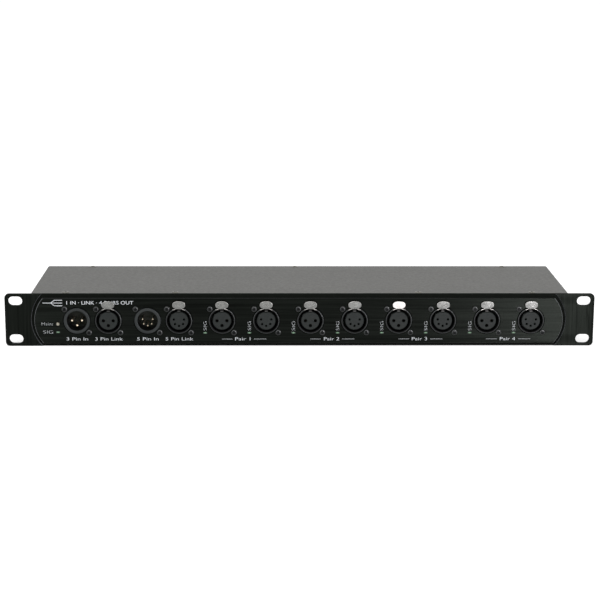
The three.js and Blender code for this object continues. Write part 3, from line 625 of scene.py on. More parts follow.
def printed(name, color):
    """Screen-printed ink."""
    finish = Finish(name, color, roughness=0.5)
    finish.vary_color(finish.noise(scale=2600, detail=2.0), low=0.92, high=1.06)
    finish.bump(finish.noise(scale=2600, detail=2.0), height=0.002)
    return finish.material


def circuit_board(name, color):
    """Solder mask over faint copper tracks."""
    finish = Finish(name, color, roughness=0.35, **{"Coat Weight": 0.3})
    tracks = finish.noise(scale=260, detail=0.0, stretch=(1, 1, 0.2))
    finish.vary_color(tracks, low=0.7, high=1.35)
    finish.bump(tracks, height=0.03)
    return finish.material


def laminated(name, color):
    """Stacked transformer sheets, whose edges show as lines."""
    finish = Finish(name, color, roughness=0.42, metallic=0.8)
    sheets = finish.noise(scale=1900, detail=0.0, stretch=(0.03, 1, 0.03))
    finish.vary_color(sheets, low=0.7, high=1.2)
    finish.bump(sheets, height=0.05)
    return finish.material


FINISHES = {
    "field": brushed("field_black", (17, 19, 17), 0.36, "X", spread=0.8, streaks=0.32),
    # Pale non-metal on the field's arc-end bevels: a painted highlight along the edge.
    "edge": plain_metal("field_edge_painted_highlight", (96, 98, 100), 0.35, metallic=0.0),
    # Pale non-metal on the channel's outer chamfer: a painted highlight.
    "chamfer": plain_metal("channel_edge_painted_highlight", (70, 72, 74), 0.35, metallic=0.0),
    # Lighter metal on the field's upward-leaning bevel: a painted highlight from the light above.
    "top_edge": plain_metal("field_top_edge_painted_highlight", (26, 27, 27), 0.35),
    "ear": brushed("ear_black", (15, 17, 15), 0.4, "Z", spread=0.3, streaks=0.3),
    # Dark matt non-metal with the plastic grain for the anodised channel floor: painted shade in
    # the groove beside the field.
    "channel": moulded("channel_painted_shade", (20, 23, 20), 0.7, sheen=0.02),
    "case": powder_coat("case_paint", (83, 83, 80), 0.55),
    "male_shell": plain_metal("male_shell_metal", (42, 44, 44), 0.42),
    "female_shell": moulded("female_shell_black", (12, 13, 13), 0.5, sheen=0.12),
    # Lighter metal on the female ring's rounded rim: a painted highlight.
    "female_rim": plain_metal("female_rim_painted_highlight", (62, 64, 64), 0.5),
    "insert": moulded("insert_plastic", (34, 38, 37), 0.55, sheen=0.12),
    "male_base": moulded("pin_carrier", (29, 33, 23), 0.55, sheen=0.12),
    "latch": plain_metal("latch_nickel", (101, 102, 100), 0.3, depth=0.002),
    "latch_nose": plain_metal("latch_nose_nickel", (58, 58, 57), 0.45),
    # A lighter copy of the latch metal for one latch: a painted highlight.
    "bright_latch": plain_metal("latch_nickel_painted_highlight", (167, 165, 162), 0.34),
    # Lighter metal on the tab's edges and feet: a painted highlight.
    "latch_edge": plain_metal("latch_edge_painted_highlight", (176, 174, 170), 0.34),
    "gold": plain_metal("contact_gold", (186, 174, 154), 0.3),
    # Dark metal for the contact sleeves deep in the wells: painted shade.
    "sleeve": plain_metal("sleeve_painted_shade", (60, 48, 34), 0.5),
    "screw": plain_metal("screw_black", (21, 22, 22), 0.4),
    # A lighter copy of the screw metal on the head's rim: a painted highlight.
    "screw_rim_painted_highlight": plain_metal("screw_rim_painted_highlight", (58, 59, 59), 0.36),
    "lid_screw": plain_metal("screw_zinc", (112, 111, 104), 0.3),
    "ink": printed("legend_ink", (214, 218, 222)),
    "green_lamp": lamp_lens("lamp_green", (118, 156, 120), (30, 62, 42)),
    "clear_lamp": lamp_lens("lamp_clear", (168, 164, 148), (96, 90, 76)),
    "board": circuit_board("board_green", (30, 92, 54)),
    "core": laminated("core_steel", (120, 116, 108)),
    "plastic": moulded("black_plastic", (22, 22, 23), 0.42, sheen=0.2),
    "blade": plain_metal("blade_nickel", (190, 186, 172), 0.28),
}


# Pieces

def piece(name, mesh, finish, body, place=(0.0, 0.0, 0.0), stands_for=None):
    """A mesh in millimetres as a finished piece that rides on a body. Place is its origin."""
    data = mesh.copy()
    data.name = name
    data.transform(Matrix.Translation(Vector(place) * MM) @ Matrix.Scale(MM, 4))
    data.materials.clear()
    for each in [finish] if isinstance(finish, str) else finish:
        data.materials.append(FINISHES[each])
    obj = bpy.data.objects.new(name, data)
    bpy.context.scene.collection.objects.link(obj)
    flat_faces = obj.modifiers.new("flat_faces", "WEIGHTED_NORMAL")
    flat_faces.weight = 100
    flat_faces.keep_sharp = True
    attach(obj, body)
    if stands_for:
        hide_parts(stands_for)
    return obj


def sockets():
    """The twelve sockets of the frame from left to right: name, X of the axis, and kind."""
    found = []
    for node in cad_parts:
        if not node.endswith("_shell"):
            continue
        name = node.removesuffix("_shell")
        low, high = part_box(node)
        found.append({
            "name": name,
            "x": (low.x + high.x) / 2 / MM,
            "contacts": 3 if name.endswith("3pin") else 5,
            "male": f"{name}_latch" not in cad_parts,
            "output": name.startswith("output"),
        })
    return sorted(found, key=lambda socket: socket["x"])


SOCKETS = sockets()
LAMPS = [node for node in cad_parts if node.endswith("_lamp")]


def lens_outline(radius, half_height):
    """The field's outline: straight above and below, with an arc at each end."""
    angle = math.degrees(math.asin(half_height / radius))
    right = arc(RIGHT_ARC_X, AXIS_Z, radius, -angle, angle, ARC_STEPS)
    return right + arc(-ARC_X, AXIS_Z, radius, 180 - angle, 180 + angle, ARC_STEPS)


def socket_hole(socket):
    """The hole in the field for a ring, with a notch above it where a latch moves."""
    radius = RING_R + HOLE_CLEARANCE
    if socket["male"]:
        return circle(socket["x"], AXIS_Z, radius)
    angle = math.degrees(math.acos(NOTCH_HALF / radius))
    top = [(socket["x"] + side * NOTCH_HALF, AXIS_Z + NOTCH_TOP) for side in (-1, 1)]
    return arc(socket["x"], AXIS_Z, radius, angle, angle - 360 + 2 * (90 - angle), RING_SIDES) + top


def lamp_centre(node):
    """The middle of a lamp in X and Z, in millimetres."""
    low, high = box_mm(node)
    return (low.x + high.x) / 2, (low.z + high.z) / 2


def lamp_hole(node):
    if node == "power_lamp":
        return circle(*lamp_centre(node), POWER_LAMP_R + POWER_HOLE_GAP, PIN_SIDES)
    width = LAMP_WIDTH + 2 * LAMP_HOLE_GAP
    height = LAMP_HEIGHT + 2 * LAMP_HOLE_GAP
    return rounded_rect(*lamp_centre(node), width, height, LAMP_ROUND)


def panel_mesh():
    """The slotted plate, with its eased channel and the hollow raised field."""
    width = PANEL_HIGH.x - PANEL_LOW.x
    height = PANEL_HIGH.z - PANEL_LOW.z
    slot_x = PANEL_HIGH.x - SLOT_EDGE_X
    slots = [
        rounded_rect(x, z, SLOT_LENGTH, SLOT_HEIGHT, SLOT_HEIGHT / 2)
        for x in (-slot_x, slot_x)
        for z in (SLOT_EDGE_Z, height - SLOT_EDGE_Z)
    ]
    outline = rounded_rect(0, AXIS_Z, width, height, PANEL_CORNER_R)
    base = plate([outline, *slots], 0, PANEL_THICK, PANEL_EDGE)
    channel = plate([lens_outline(CHANNEL_R, AXIS_Z + OVERRUN)], -OVERRUN, CHANNEL_DEPTH)
    eased = plate(
        [lens_outline(CHANNEL_R + 2 * CHANNEL_EASE, AXIS_Z + OVERRUN)],
        -2 * CHANNEL_EASE - OVERRUN, CHANNEL_EASE, 2 * CHANNEL_EASE, steps=0,
    )
    field = plate([lens_outline(FIELD_ARC_R, FIELD_HALF)], FIELD_Y, FIELD_BACK, FIELD_EDGE)
    back = PANEL_THICK + OVERRUN
    holes = [socket_hole(socket) for socket in SOCKETS] + [lamp_hole(node) for node in LAMPS]
    through = gathered("holes", [plate([hole], FIELD_Y - OVERRUN, back) for hole in holes])
    pocket = plate([lens_outline(FIELD_ARC_R - POCKET_RIM, FIELD_HALF - POCKET_RIM)], 0, back)
    return cut(joined(cut(base, channel, eased), field), pocket, through)


def in_lens(x, z, radius):
    """Whether a point of the panel lies inside an arc-ended outline of that radius."""
    if -ARC_X <= x <= RIGHT_ARC_X:
        return True
    centre_x = RIGHT_ARC_X if x > 0 else -ARC_X
    return math.hypot(x - centre_x, z - AXIS_Z) <= radius


def panel_look(centre, normal):
    """The finish of a panel face, from where it lies and which way it faces. Lighter bevels are
    painted highlights, and the dark channel floor is painted shade.
    """
    x, y, z = centre
    along_arc = -FACING < normal.y < -HARDLY_FACING and abs(normal.x) > LEANING
    if y < EAR_Y + FIELD_Y + FIELD_EDGE:
        # The field's arc-end bevels get a painted highlight.
        if along_arc and not in_lens(x, z, FIELD_ARC_R - FIELD_EDGE):
            return "edge"
        # Upward-leaning bevels of the field get a lighter metal, a painted highlight.
        return "top_edge" if LEANING < normal.z < FACING else "field"
    # The channel floor is painted shade.
    if in_lens(x, z, CHANNEL_R + CHANNEL_EASE) and y < EAR_Y + CHANNEL_DEPTH + WELD:
        # The channel's outer chamfer gets a painted highlight.
        return "chamfer" if along_arc else "channel"
    return "ear"


def add_panel():
    panel = piece(
        "panel", panel_mesh(), PANEL_LOOKS, "root", (0, EAR_Y, 0),
        stands_for="front_panel",
    )
    for face in panel.data.polygons:
        face.material_index = PANEL_LOOKS.index(panel_look(face.center / MM, face.normal))


def flange_mesh():
    offset = SOCKET_SCREW_OFFSET
    holes = [circle(x, -x, FLANGE_HOLE_R, PIN_SIDES) for x in (-offset, offset)]
    bore = circle(0, 0, (RING_R + BORE_R) / 2)
    outline = rounded_rect(0, 0, FLANGE_SIZE, FLANGE_SIZE, FLANGE_CORNER_R)
    return plate([outline, bore, *holes], 0, FLANGE_THICK, SHEET_EDGE)


def barrel_mesh(bore):
    """The shell's barrel round a bore, whose profile runs from its back to the ring's face."""
    outside = reversed(rounded_corner(RING_R, RING_Y, RING_ROUND, 1))
    return lathe([(BORE_R, SHELL_BACK_Y), *bore, *outside, (RING_R, SHELL_BACK_Y)])


def female_shell_mesh():
    """The barrel with its flange, and above it the two rails and the slot of the latch."""
    barrel = barrel_mesh(rounded_corner(BORE_R, RING_Y, FEMALE_BORE_ROUND, -1))
    rail_x = NOTCH_HALF + RAIL_WIDTH / 2
    rails = [
        block(about(side * rail_x, RAIL_WIDTH), (0, ARM_BACK_Y), (BORE_R, NOTCH_TOP))
        for side in (-1, 1)
    ]
    slot = block(
        about(0, NOSE_SLOT_WIDTH),
        (NOSE_BACK_Y - NOSE_LENGTH, NOSE_BACK_Y + 2 * LATCH_TRAVEL),
        (INSERT_R, NOTCH_TOP),
    )
    channel = block(
        about(0, 2 * NOTCH_HALF), (-OVERRUN, ARM_BACK_Y + OVERRUN), (RING_R, NOTCH_TOP + OVERRUN),
    )
    return cut(joined(barrel, flange_mesh(), *rails), channel, slot)


def male_shell_mesh():
    """The barrel with its flange, and a narrower bore in front of the pins' base."""
    barrel = barrel_mesh([
        (BORE_R, BASE_Y - BASE_GAP),
        (MALE_BORE_R, BASE_Y - BASE_GAP),
        *rounded_corner(MALE_BORE_R, RING_Y, MALE_BORE_ROUND, -1),
    ])
    return joined(barrel, flange_mesh())


def mark_rim(shell, centre):
    """Gives the rounded outer edge of a ring's front a lighter metal, a painted highlight."""
    for face in shell.data.polygons:
        away = face.center - centre
        radius = math.hypot(away.x, away.z) / MM
        if radius > RING_R - RING_ROUND and away.y / MM < RING_Y + RING_ROUND:
            face.material_index = 1


def contact_places(contacts):
    kind = CONTACTS[contacts]
    angles = [math.radians(degrees) for degrees in kind["angles"]]
    return [(kind["circle"] * math.cos(a), kind["circle"] * math.sin(a)) for a in angles]


def female_insert_mesh(contacts):
    """The insulating core, with its key rib and a chamfered well for each contact."""
    core = lathe([
        (0, INSERT_Y),
        (INSERT_R - INSERT_CHAMFER, INSERT_Y),
        (INSERT_R, INSERT_Y + INSERT_CHAMFER),
        (INSERT_R, BASE_Y),
        (BASE_R, BASE_Y),
        (BASE_R, BASE_BACK_Y),
        (0, BASE_BACK_Y),
    ])
    rib = block(
        (INSERT_R - 2 * KEY_HEIGHT, INSERT_R + KEY_HEIGHT),
        (INSERT_Y + INSERT_CHAMFER, BASE_Y + INSERT_CHAMFER),
        about(0, KEY_WIDTH), bevel=KEY_EDGE,
    )
    radius = CONTACTS[contacts]["hole"]
    well = lathe([
        (0, INSERT_Y - WELL_CHAMFER),
        (radius + 2 * WELL_CHAMFER, INSERT_Y - WELL_CHAMFER),
        (radius, INSERT_Y + WELL_CHAMFER),
        (radius, INSERT_Y + CONTACT_DEPTH),
        (0, INSERT_Y + CONTACT_DEPTH),
    ], PIN_SIDES)
    wells = [moved(well, x, z) for x, z in contact_places(contacts)]
    notch = block(
        about(0, NOSE_SLOT_WIDTH),
        (INSERT_Y - OVERRUN, NOSE_BACK_Y + 2 * LATCH_TRAVEL),
        (NOSE_TIP_Z - LATCH_GAP, INSERT_R + OVERRUN),
    )
    return cut(joined(core, turned_about(rib, "Y", -KEY_ANGLE)), notch, *wells)


def with_tails(solid, contacts):
    """The metal of all contacts of a socket: at each place the solid and a solder tail."""
    end = BASE_BACK_Y + TAIL_LENGTH
    tail = lathe([(0, BASE_BACK_Y), (TAIL_R, BASE_BACK_Y), (TAIL_R, end), (0, end)], PIN_SIDES)
    return gathered("contacts", [
        moved(each, x, z) for x, z in contact_places(contacts) for each in (solid, tail)
    ])


def female_contacts_mesh(contacts):
    """The spring sleeves inside the wells, with their solder tails."""
    radius = CONTACTS[contacts]["hole"] - SLEEVE_GAP
    front = INSERT_Y + SLEEVE_INSET
    floor = INSERT_Y + CONTACT_DEPTH - SLEEVE_WALL
    sleeve = lathe([
        (0, floor - SLEEVE_WALL),
        (radius - SLEEVE_WALL, floor - SLEEVE_WALL),
        (radius - SLEEVE_WALL, front),
        (radius, front),
        (radius, floor),
        (0, floor),
    ], PIN_SIDES)
    return with_tails(sleeve, contacts)


def male_insert_mesh():
    """The disc that carries the pins."""
    return lathe([
        (0, BASE_Y),
        (BASE_R - INSERT_CHAMFER, BASE_Y),
        (BASE_R, BASE_Y + INSERT_CHAMFER),
        (BASE_R, BASE_BACK_Y),
        (0, BASE_BACK_Y),
    ])


def pins_mesh(contacts):
    radius = CONTACTS[contacts]["pin"]
    return with_tails(domed_bar(radius, BASE_Y - PIN_LENGTH, radius, BASE_Y), contacts)


def latch_outline():
    """The stamped plate seen from the front: oval tab, waist and two flared feet round the ring."""
    semi = TAB_WIDTH / 2
    waist = NECK_WIDTH / 2
    shoulder = math.acos((waist / semi) ** (TAB_FULLNESS / 2))
    foot_r = RING_R - FOOT_OVERLAP
    foot_x = FOOT_SPREAD / 2
    foot_angle = math.degrees(math.acos(foot_x / foot_r))
    foot_z = foot_r * math.sin(math.radians(foot_angle))
    tab = []
    for i in range(ARC_STEPS + 1):
        angle = -shoulder + (math.pi + 2 * shoulder) * i / ARC_STEPS
        across, up = (
            math.copysign(abs(share) ** (2 / TAB_FULLNESS), share)
            for share in (math.cos(angle), math.sin(angle))
        )
        tab.append((semi * across, TAB_RISE + TAB_HEIGHT / 2 * up))
    shoulder_z = tab[0][1]
    flare = bow((foot_x, foot_z + FOOT_TIP), (waist, foot_z + 2 * FOOT_TIP), (waist, shoulder_z))
    mirrored = [(-x, z) for x, z in reversed(flare)]
    under = arc(0, 0, foot_r, 180 - foot_angle, foot_angle, ARC_STEPS // 2)
    return flare[:-1] + tab + mirrored[1:] + under


def bow(start, control, end):
    """Points along a quadratic curve."""
    points = []
    for i in range(CORNER_STEPS + 1):
        t = i / CORNER_STEPS
        weights = ((1 - t) ** 2, 2 * t * (1 - t), t ** 2)
        points.append(tuple(
            sum(weight * point[axis] for weight, point in zip(weights, (start, control, end)))
            for axis in (0, 1)
        ))
    return points


def latch_mesh():
    """The push latch: stamped tab, arm and nose, with three grip ribs across the tab."""
    tab = plate([latch_outline()], LATCH_Y, LATCH_Y + LATCH_METAL, LATCH_EDGE)
    arm_z = RING_R + LATCH_GAP
    arm = block(
        about(0, NECK_WIDTH),
        (LATCH_Y + LATCH_METAL / 2, ARM_BACK_Y),
        (arm_z, arm_z + LATCH_METAL),
    )
    front = NOSE_BACK_Y - NOSE_LENGTH
    profile = [
        (NOSE_BACK_Y, NOSE_TIP_Z),
        (NOSE_BACK_Y, arm_z + LATCH_METAL / 2),
        (NOSE_BACK_Y - NOSE_POST, arm_z + LATCH_METAL / 2),
        (NOSE_BACK_Y - NOSE_POST, NOSE_TIP_Z + NOSE_HEIGHT),
        (front, NOSE_TIP_Z + NOSE_HEIGHT),
        (front, NOSE_TIP_Z + NOSE_ROUND),
        (front + NOSE_ROUND, NOSE_TIP_Z),
    ]
    nose = turned_about(plate([profile], *about(0, NOSE_WIDTH)), "Z", 90)
    ribs = []
    for i, length in enumerate(RIB_LENGTHS):
        z = TAB_RISE + (i - 1) * RIB_PITCH
        outline = rounded_rect(0, z, length, RIB_HEIGHT, RIB_HEIGHT / 2)
        ribs.append(plate([outline], LATCH_Y - RIB_PROUD, LATCH_Y + LATCH_EDGE, RIB_EDGE))
    return joined(tab, arm, nose, *ribs)


def add_latch(name, mesh, place):
    """A socket's latch, with a lighter metal on the tab's edge as a painted highlight, and a darker
    copy of the metal on the nose's front.
    """
    looks = ["bright_latch" if name == BRIGHT_LATCH else "latch", "latch_edge", "latch_nose"]
    latch = piece(f"{name}_tab", mesh, looks, f"{name}_push", place, f"{name}_latch")
    for face in latch.data.polygons:
        y = face.center.y / MM - EAR_Y - LATCH_Y
        # Edge faces of the tab get the painted highlight.
        on_edge = y < LATCH_EDGE and face.normal.y > -TAB_FRONT
        on_nose = y > LATCH_METAL and face.normal.y < -NOSE_FRONT
        face.material_index = 1 if on_edge else 2 if on_nose else 0


def add_sockets():
    shells = {True: male_shell_mesh(), False: female_shell_mesh()}
    inserts = {contacts: female_insert_mesh(contacts) for contacts in CONTACTS}
    sleeves = {contacts: female_contacts_mesh(contacts) for contacts in CONTACTS}
    pins = {contacts: pins_mesh(contacts) for contacts in CONTACTS}
    carrier = male_insert_mesh()
    latch = latch_mesh()
    for socket in SOCKETS:
        name, male, contacts = socket["name"], socket["male"], socket["contacts"]
        place = (socket["x"], EAR_Y, AXIS_Z)
        looks = ["male_shell"] if male else ["female_shell", "female_rim"]
        shell = piece(
            f"{name}_housing", shells[male], looks, "root", place, f"{name}_shell",
        )
        if not male:
            mark_rim(shell, Vector(place) * MM)
        core = carrier if male else inserts[contacts]
        look = "male_base" if male else "insert"
        piece(f"{name}_core", core, look, "root", place, f"{name}_insert")
        metal = pins[contacts] if male else sleeves[contacts]
        piece(f"{name}_contacts", metal, "gold" if male else "sleeve", "root", place)
        if not male:
            add_latch(name, latch, place)


def screw_mesh(radius, rise):
    """A pan head with a cross recess, drawn with its face towards -Y and its seat at zero."""
    dome = [(radius * across, -rise * up) for across, up in SCREW_DOME]
    head = lathe([*dome, (radius, SCREW_SEAT), (0, SCREW_SEAT)], RING_SIDES // 2)
    length, width = radius * CROSS_LENGTH, radius * CROSS_WIDTH
    bars = [
        block(about(0, across), (-rise - CROSS_OVERRUN, -rise * CROSS_FLOOR), about(0, up))
        for across, up in ((length, width), (width, length))
    ]
    return cut(head, *bars)


def add_socket_screw(name, mesh, place):
    """A screw beside a socket, whose rim has a lighter copy of the head's metal as a painted
    highlight.
    """
    screw = piece(name, mesh, ["screw", "screw_rim_painted_highlight"], "root", place)
    centre = Vector(place) * MM
    for face in screw.data.polygons:
        if (face.center - centre).length > SOCKET_SCREW_R * RIM_SHARE * MM:
            face.material_index = 1


def add_screws():
    head = screw_mesh(SOCKET_SCREW_R, SOCKET_SCREW_RISE)
    for i, socket in enumerate(SOCKETS):
        for j, side in enumerate((-1, 1)):
            offset = side * SOCKET_SCREW_OFFSET
            mesh = turned_about(head, "Y", SCREW_TURN * (2 * i + j))
            place = (socket["x"] + offset, EAR_Y + FIELD_Y, AXIS_Z - offset)
            add_socket_screw(f"{socket['name']}_screw{j + 1}", mesh, place)
    lid_head = turned_about(screw_mesh(LID_SCREW_R, LID_SCREW_RISE), "X", -90)
    front = [(x, COVER_LOW.y + FRONT_LID_SCREW_INSET) for x in FRONT_LID_SCREWS_X]
    rear = [(x, COVER_HIGH.y - REAR_LID_SCREW_INSET) for x in REAR_LID_SCREWS_X]
    for i, (x, y) in enumerate(front + rear):
        mesh = turned_about(lid_head, "Z", SCREW_TURN * i)
        piece(f"lid_screw{i + 1}", mesh, "lid_screw", "root", (x, y, COVER_HIGH.z))


def add_lamps():
    front = FIELD_Y - LAMP_PROUD
    for node in LAMPS:
        x, z = lamp_centre(node)
        place = (x, EAR_Y, z)
        if node == "power_lamp":
            mesh = domed_bar(POWER_LAMP_R, front - POWER_LAMP_RISE, POWER_LAMP_RISE, PANEL_THICK)
            piece("power_lens", mesh, "clear_lamp", "root", place, node)
        else:
            outline = rounded_rect(0, 0, LAMP_WIDTH, LAMP_HEIGHT, LAMP_ROUND)
            mesh = plate([outline], front, PANEL_THICK, LAMP_PROUD)
            piece(f"{node}_lens", mesh, "green_lamp", "root", place, node)


def add_cover():
    """The lid, folded down at both sides with a small bend."""
    high, low = COVER_HIGH.z, COVER_HIGH.z - COVER_LIP
    outer, bend, inner_bend = COVER_HIGH.x, COVER_BEND_R, COVER_BEND_R - SHEET
    inner = outer - SHEET
    top = high - SHEET
    outline = (
        [(inner, low), (outer, low)]
        + arc(outer - bend, high - bend, bend, 0, 90, CORNER_STEPS)
        + arc(-outer + bend, high - bend, bend, 90, 180, CORNER_STEPS)
        + [(-outer, low), (-inner, low)]
        + arc(-inner + inner_bend, top - inner_bend, inner_bend, 180, 90, CORNER_STEPS)
        + arc(inner - inner_bend, top - inner_bend, inner_bend, 90, 0, CORNER_STEPS)
    )
    mesh = plate([outline], COVER_LOW.y, COVER_HIGH.y, SHEET_EDGE)
    piece("lid", mesh, "case", "root", stands_for="top_cover")


# Legends

def text_mesh(words, height, width, align="CENTER", thinner=0.0):
    """Plain lettering in X and Z, as thick as ink and stretched to a width."""
    curve = bpy.data.curves.new("words", "FONT")
    curve.body = words
    curve.size = height / CAPITAL_SHARE
    curve.align_x = align
    curve.align_y = "CENTER"
    curve.extrude = LEGEND_THICK / 2
    curve.offset = -thinner
    curve.resolution_u = LETTER_STEPS
    mesh = evaluated_mesh(bpy.data.objects.new("words", curve))
    found = max(v.co.x for v in mesh.vertices) - min(v.co.x for v in mesh.vertices)
    mesh.transform(Matrix.Scale(width / found, 4, (1, 0, 0)))
    mesh.transform(Matrix.Rotation(math.pi / 2, 4, "X"))
    return mesh


def stroke(points, width=BRACKET_LINE):
    """A printed line through points in X and Z, with round ends and joints."""
    shapes = []
    for (x0, z0), (x1, z1) in zip(points, points[1:]):
        length = math.hypot(x1 - x0, z1 - z0) + width
        outline = rounded_rect(0, 0, length, width, width / 2, STROKE_STEPS)
        bar = plate([outline], *about(0, LEGEND_THICK))
        bar = turned_about(bar, "Y", -math.degrees(math.atan2(z1 - z0, x1 - x0)))
        shapes.append(moved(bar, (x0 + x1) / 2, (z0 + z1) / 2))
    return joined(*shapes)


def add_legend(name, mesh, x, z):
    place = (x, EAR_Y + FIELD_Y - LEGEND_THICK / 2, z)
    piece(f"legend_{name}", mesh, "ink", "root", place)


def add_input_legends():
    for socket in SOCKETS:
        if socket["name"] in LABELS:
            words, width = LABELS[socket["name"]]
            mesh = text_mesh(words, LABEL_HEIGHT, width, thinner=THINNER)
            add_legend(socket["name"], mesh, socket["x"], LABEL_Z)


def add_output_legends():
    """A word on its side by each output's lamp, and each pair's number between two lines."""
    outputs = [socket for socket in SOCKETS if socket["output"]]
    side_label = text_mesh("SIG", SIDE_LABEL_HEIGHT, SIDE_LABEL_WIDTH, thinner=FINE)
    side_label = turned_about(side_label, "Y", -90)
    for i, socket in enumerate(outputs):
        add_legend(f"side{i + 1}", side_label, socket["x"] - SIDE_LABEL_OFFSET, SIDE_LABEL_Z)
    for i in range(len(outputs) // 2):
        left, right = outputs[2 * i]["x"], outputs[2 * i + 1]["x"]
        inner_left, inner_right = left + BRACKET_LEFT, right - BRACKET_RIGHT
        lines = [
            stroke([(left, LABEL_Z), (inner_left, LABEL_Z)]),
            stroke([(inner_right, LABEL_Z), (right, LABEL_Z)]),
        ]
        add_legend(f"bracket{i + 1}", gathered("bracket", lines), 0, 0)
        mesh = text_mesh(f"Pair {i + 1}", LABEL_HEIGHT, PAIR_WIDTH, thinner=THINNER)
        add_legend(f"pair{i + 1}", mesh, (inner_left + inner_right) / 2, LABEL_Z)


def add_title():
    """A fork sign for one line that is shared out, and plain words."""
    right = FORK_LEFT + FORK_WIDTH
    knee = FORK_LEFT + FORK_WIDTH * FORK_KNEE
    bend = FORK_LEFT + FORK_WIDTH * FORK_BEND
    strokes = [stroke([(FORK_LEFT, TITLE_Z), (right, TITLE_Z)], FORK_LINE)]
    for side in (-1, 1):
        z = TITLE_Z + side * FORK_HEIGHT / 2
        strokes.append(stroke([(knee, TITLE_Z), (bend, z), (right, z)], FORK_LINE))
    add_legend("fork", joined(*strokes), 0, 0)
    words = text_mesh("1 IN · LINK · 4 PAIRS OUT", TITLE_HEIGHT, TITLE_WIDTH, "LEFT")
    add_legend("title", words, TITLE_LEFT, TITLE_Z)


def add_status_legends():
    x = lamp_centre("power_lamp")[0] - STATUS_LABEL_GAP
    for name, words, width in (("power", "Mains", MAINS_WIDTH), ("data", "SIG", SIG_WIDTH)):
        mesh = text_mesh(words, LABEL_HEIGHT, width, "RIGHT", FINE)
        add_legend(name, mesh, x, lamp_centre(f"{name}_lamp")[1])


# Stage

def add_floor():
    """A pale floor that is white to the camera where no shadow falls on it."""
    bpy.ops.mesh.primitive_plane_add(size=FLOOR_SIZE, location=(0, 0, -FLOOR_DROP))
    floor = bpy.context.object
    floor.name = "floor"
    material = bpy.data.materials.new("floor_white")
    material.use_nodes = True
    tree = material.node_tree
    shader = tree.nodes["Principled BSDF"]
    fill(tree, shader, {"Base Color": FLOOR_COLOR, "Roughness": FLOOR_ROUGHNESS})
    inputs = {0: seen_rays(tree), 1: FLOOR_GLOW}
    strength = add_node(tree, "ShaderNodeMath", inputs, operation="MULTIPLY").outputs["Value"]
    glow = add_node(tree, "ShaderNodeEmission", {"Strength": strength})
    inputs = {0: shader.outputs["BSDF"], 1: glow.outputs["Emission"]}
    total = add_node(tree, "ShaderNodeAddShader", inputs).outputs["Shader"]
    fill(tree, tree.nodes["Material Output"], {"Surface": total})
    floor.data.materials.append(material)


def seen_rays(tree):
    """1 for camera, glossy and transmission rays, and 0 for the rays that carry light."""
    rays = add_node(tree, "ShaderNodeLightPath", {}).outputs
    result = rays["Is Camera Ray"]
    for ray in ("Is Glossy Ray", "Is Transmission Ray"):
        inputs = {0: result, 1: rays[ray]}
        result = add_node(tree, "ShaderNodeMath", inputs, operation="MAXIMUM").outputs["Value"]
    return result


def add_world():
    """White all round, and brighter to the eye than as a light."""
    world = bpy.data.worlds.new("studio")
    bpy.context.scene.world = world
    world.use_nodes = True
    tree = world.node_tree
    inputs = {"Value": seen_rays(tree), "To Min": WORLD_LIGHT, "To Max": WORLD_SEEN}
    strength = add_node(tree, "ShaderNodeMapRange", inputs).outputs["Result"]
    fill(tree, tree.nodes["Background"], {"Color": (1, 1, 1, 1), "Strength": strength})


def add_light(name, place, target, size, power, only_gloss=False, tint=(1, 1, 1)):
    """A soft lamp. One that is only for gloss shows in reflections and adds no other light."""
    data = bpy.data.lights.new(name, "AREA")
    data.shape = "RECTANGLE"
    data.size, data.size_y = size
    data.energy = power
    data.color = tint
    light = bpy.data.objects.new(name, data)
    light.location = place
    light.rotation_euler = (Vector(target) - Vector(place)).to_track_quat("-Z", "Y").to_euler()
    light.visible_diffuse = not only_gloss
    bpy.context.scene.collection.objects.link(light)


def add_camera():
    """The photograph's camera, turned right and down by its angles."""
    yaw, pitch, roll = (math.radians(a) for a in (CAMERA_YAW, CAMERA_PITCH, CAMERA_ROLL))
    forward = Vector((
        math.sin(yaw) * math.cos(pitch), math.cos(yaw) * math.cos(pitch), -math.sin(pitch),
    ))
    level = forward.cross(Vector((0, 0, 1))).normalized()
    up = level.cross(forward)
    right = math.cos(roll) * level + math.sin(roll) * up
    top = math.cos(roll) * up - math.sin(roll) * level
    data = bpy.data.cameras.new("photo_camera")
    data.sensor_fit = "HORIZONTAL"
    data.sensor_width = SENSOR
    data.lens = CAMERA_LENS
    camera = bpy.data.objects.new("photo_camera", data)
    turn = Matrix((right, top, -forward)).transposed().to_4x4()
    camera.matrix_world = Matrix.Translation(CAMERA_PLACE) @ turn
    bpy.context.scene.collection.objects.link(camera)
    bpy.context.scene.camera = camera


# The rest of the case and the rear fittings

def eased_copy(node, width):
    """The node's own shape in millimetres, with flat faces joined and sharp edges eased."""
    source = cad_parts[node]
    bm = bmesh.new()
    bm.from_mesh(source.data)
    bm.transform(Matrix.Scale(1 / MM, 4) @ source.matrix_world)
    bmesh.ops.remove_doubles(bm, verts=bm.verts, dist=WELD)
    flat, smooth = math.radians(FLAT_ANGLE), math.radians(SMOOTH_ANGLE)
    bmesh.ops.dissolve_limit(bm, angle_limit=flat, verts=bm.verts, edges=bm.edges)
    sharp = [edge for edge in bm.edges if edge.is_manifold and edge.calc_face_angle(0) > smooth]
    bmesh.ops.bevel(
        bm, geom=sharp, offset=width, offset_type="OFFSET", segments=EASE_SEGMENTS,
        profile=EASE_PROFILE, affect="EDGES", clamp_overlap=True,
    )
    return finished(bm, node)


def add_case():
    names = {"chassis_tray": "tray", "front_frame": "inner_frame", "rear_panel": "rear_wall"}
    for node, name in names.items():
        mesh = eased_copy(node, SHEET_EDGE)
        piece(name, mesh, "case", "root", stands_for=node)


def add_fitting(name, node, finish, body):
    """A plastic fitting at the back, in its CAD shape with eased edges."""
    mesh = eased_copy(node, FITTING_EDGE)
    return piece(name, mesh, finish, body, stands_for=node)


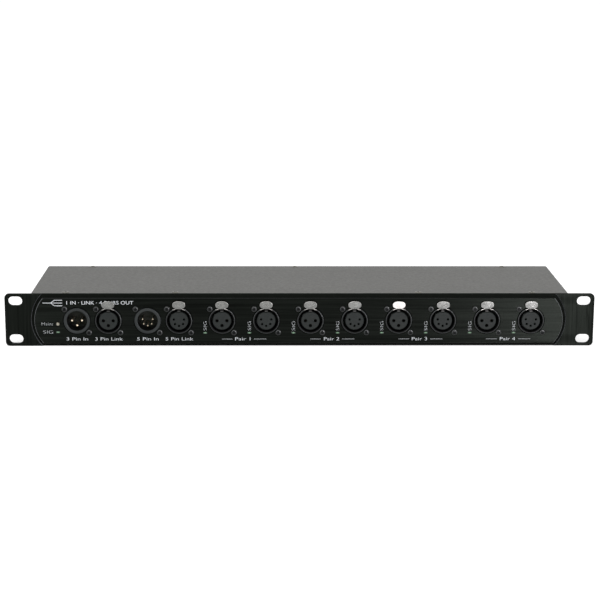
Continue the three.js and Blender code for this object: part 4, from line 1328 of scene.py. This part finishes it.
def add_inlet():
    """The inlet with its plated blades and tabs, and the fuse drawer."""
    inlet = add_fitting("inlet", "mains_inlet", ["plastic", "blade"], "root")
    low, high = box_mm("mains_inlet")
    middle = (low + high) / 2
    floor, mouth = high.y - INLET_CAVITY_DEPTH + FITTING_EDGE, high.y - FITTING_EDGE
    terminal_end = low.y + TERMINAL_LENGTH - FITTING_EDGE
    for face in inlet.data.polygons:
        x, y, z = face.center / MM
        on_blade = floor < y < mouth and z > middle.z and any(
            abs(x - middle.x - blade_x) < BLADE_REACH_X and abs(z - blade_z) < BLADE_REACH_Z
            for blade_x, blade_z in BLADES
        )
        if on_blade or y < terminal_end:
            face.material_index = 1
    add_fitting("fuse_holder", "fuse_drawer", "plastic", "fuse_carrier")


def add_switch():
    add_fitting("switch_case", "switch_body", "plastic", "root")
    rocker = add_fitting("switch_rocker", "power_rocker", "plastic", "rocker")
    radius = MARK_LENGTH / 2
    line = [rounded_rect(0, 0, MARK_LINE, MARK_LENGTH, MARK_LINE / 2)]
    ring = [circle(0, 0, radius, PIN_SIDES), circle(0, 0, radius - MARK_LINE, PIN_SIDES)]
    for name, outlines, side in (("on", line, 1), ("off", ring, -1)):
        mark = plate(outlines, 0, LEGEND_THICK)
        faces = [face for face in rocker.data.polygons if face.normal.y > MARK_FACING]
        half = [face for face in faces if side * (face.center.z - AXIS_Z * MM) > 0]
        face = max(half, key=lambda found: found.area)
        tilt = math.degrees(math.atan2(face.normal.z, face.normal.y))
        mark = turned_about(mark, "X", tilt)
        piece(f"mark_{name}", mark, "ink", "rocker", tuple(face.center / MM))


def dress_kept_nodes():
    """Finishes for the CAD nodes that no piece replaces."""
    looks = {
        "socket_board": "board", "logic_board": "board", "supply_board": "board",
        "mains_transformer": "core", "fuse": "blade",
    }
    for node, look in looks.items():
        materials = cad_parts[node].data.materials
        materials.clear()
        materials.append(FINISHES[look])


bpy.context.scene.view_settings.view_transform = "Standard"
add_camera()
add_world()
for name, light in LIGHTS.items():
    add_light(name, *light)
add_floor()
add_panel()
add_sockets()
add_screws()
add_lamps()
add_cover()
add_case()
add_inlet()
add_switch()
add_input_legends()
add_output_legends()
add_title()
add_status_legends()
dress_kept_nodes()
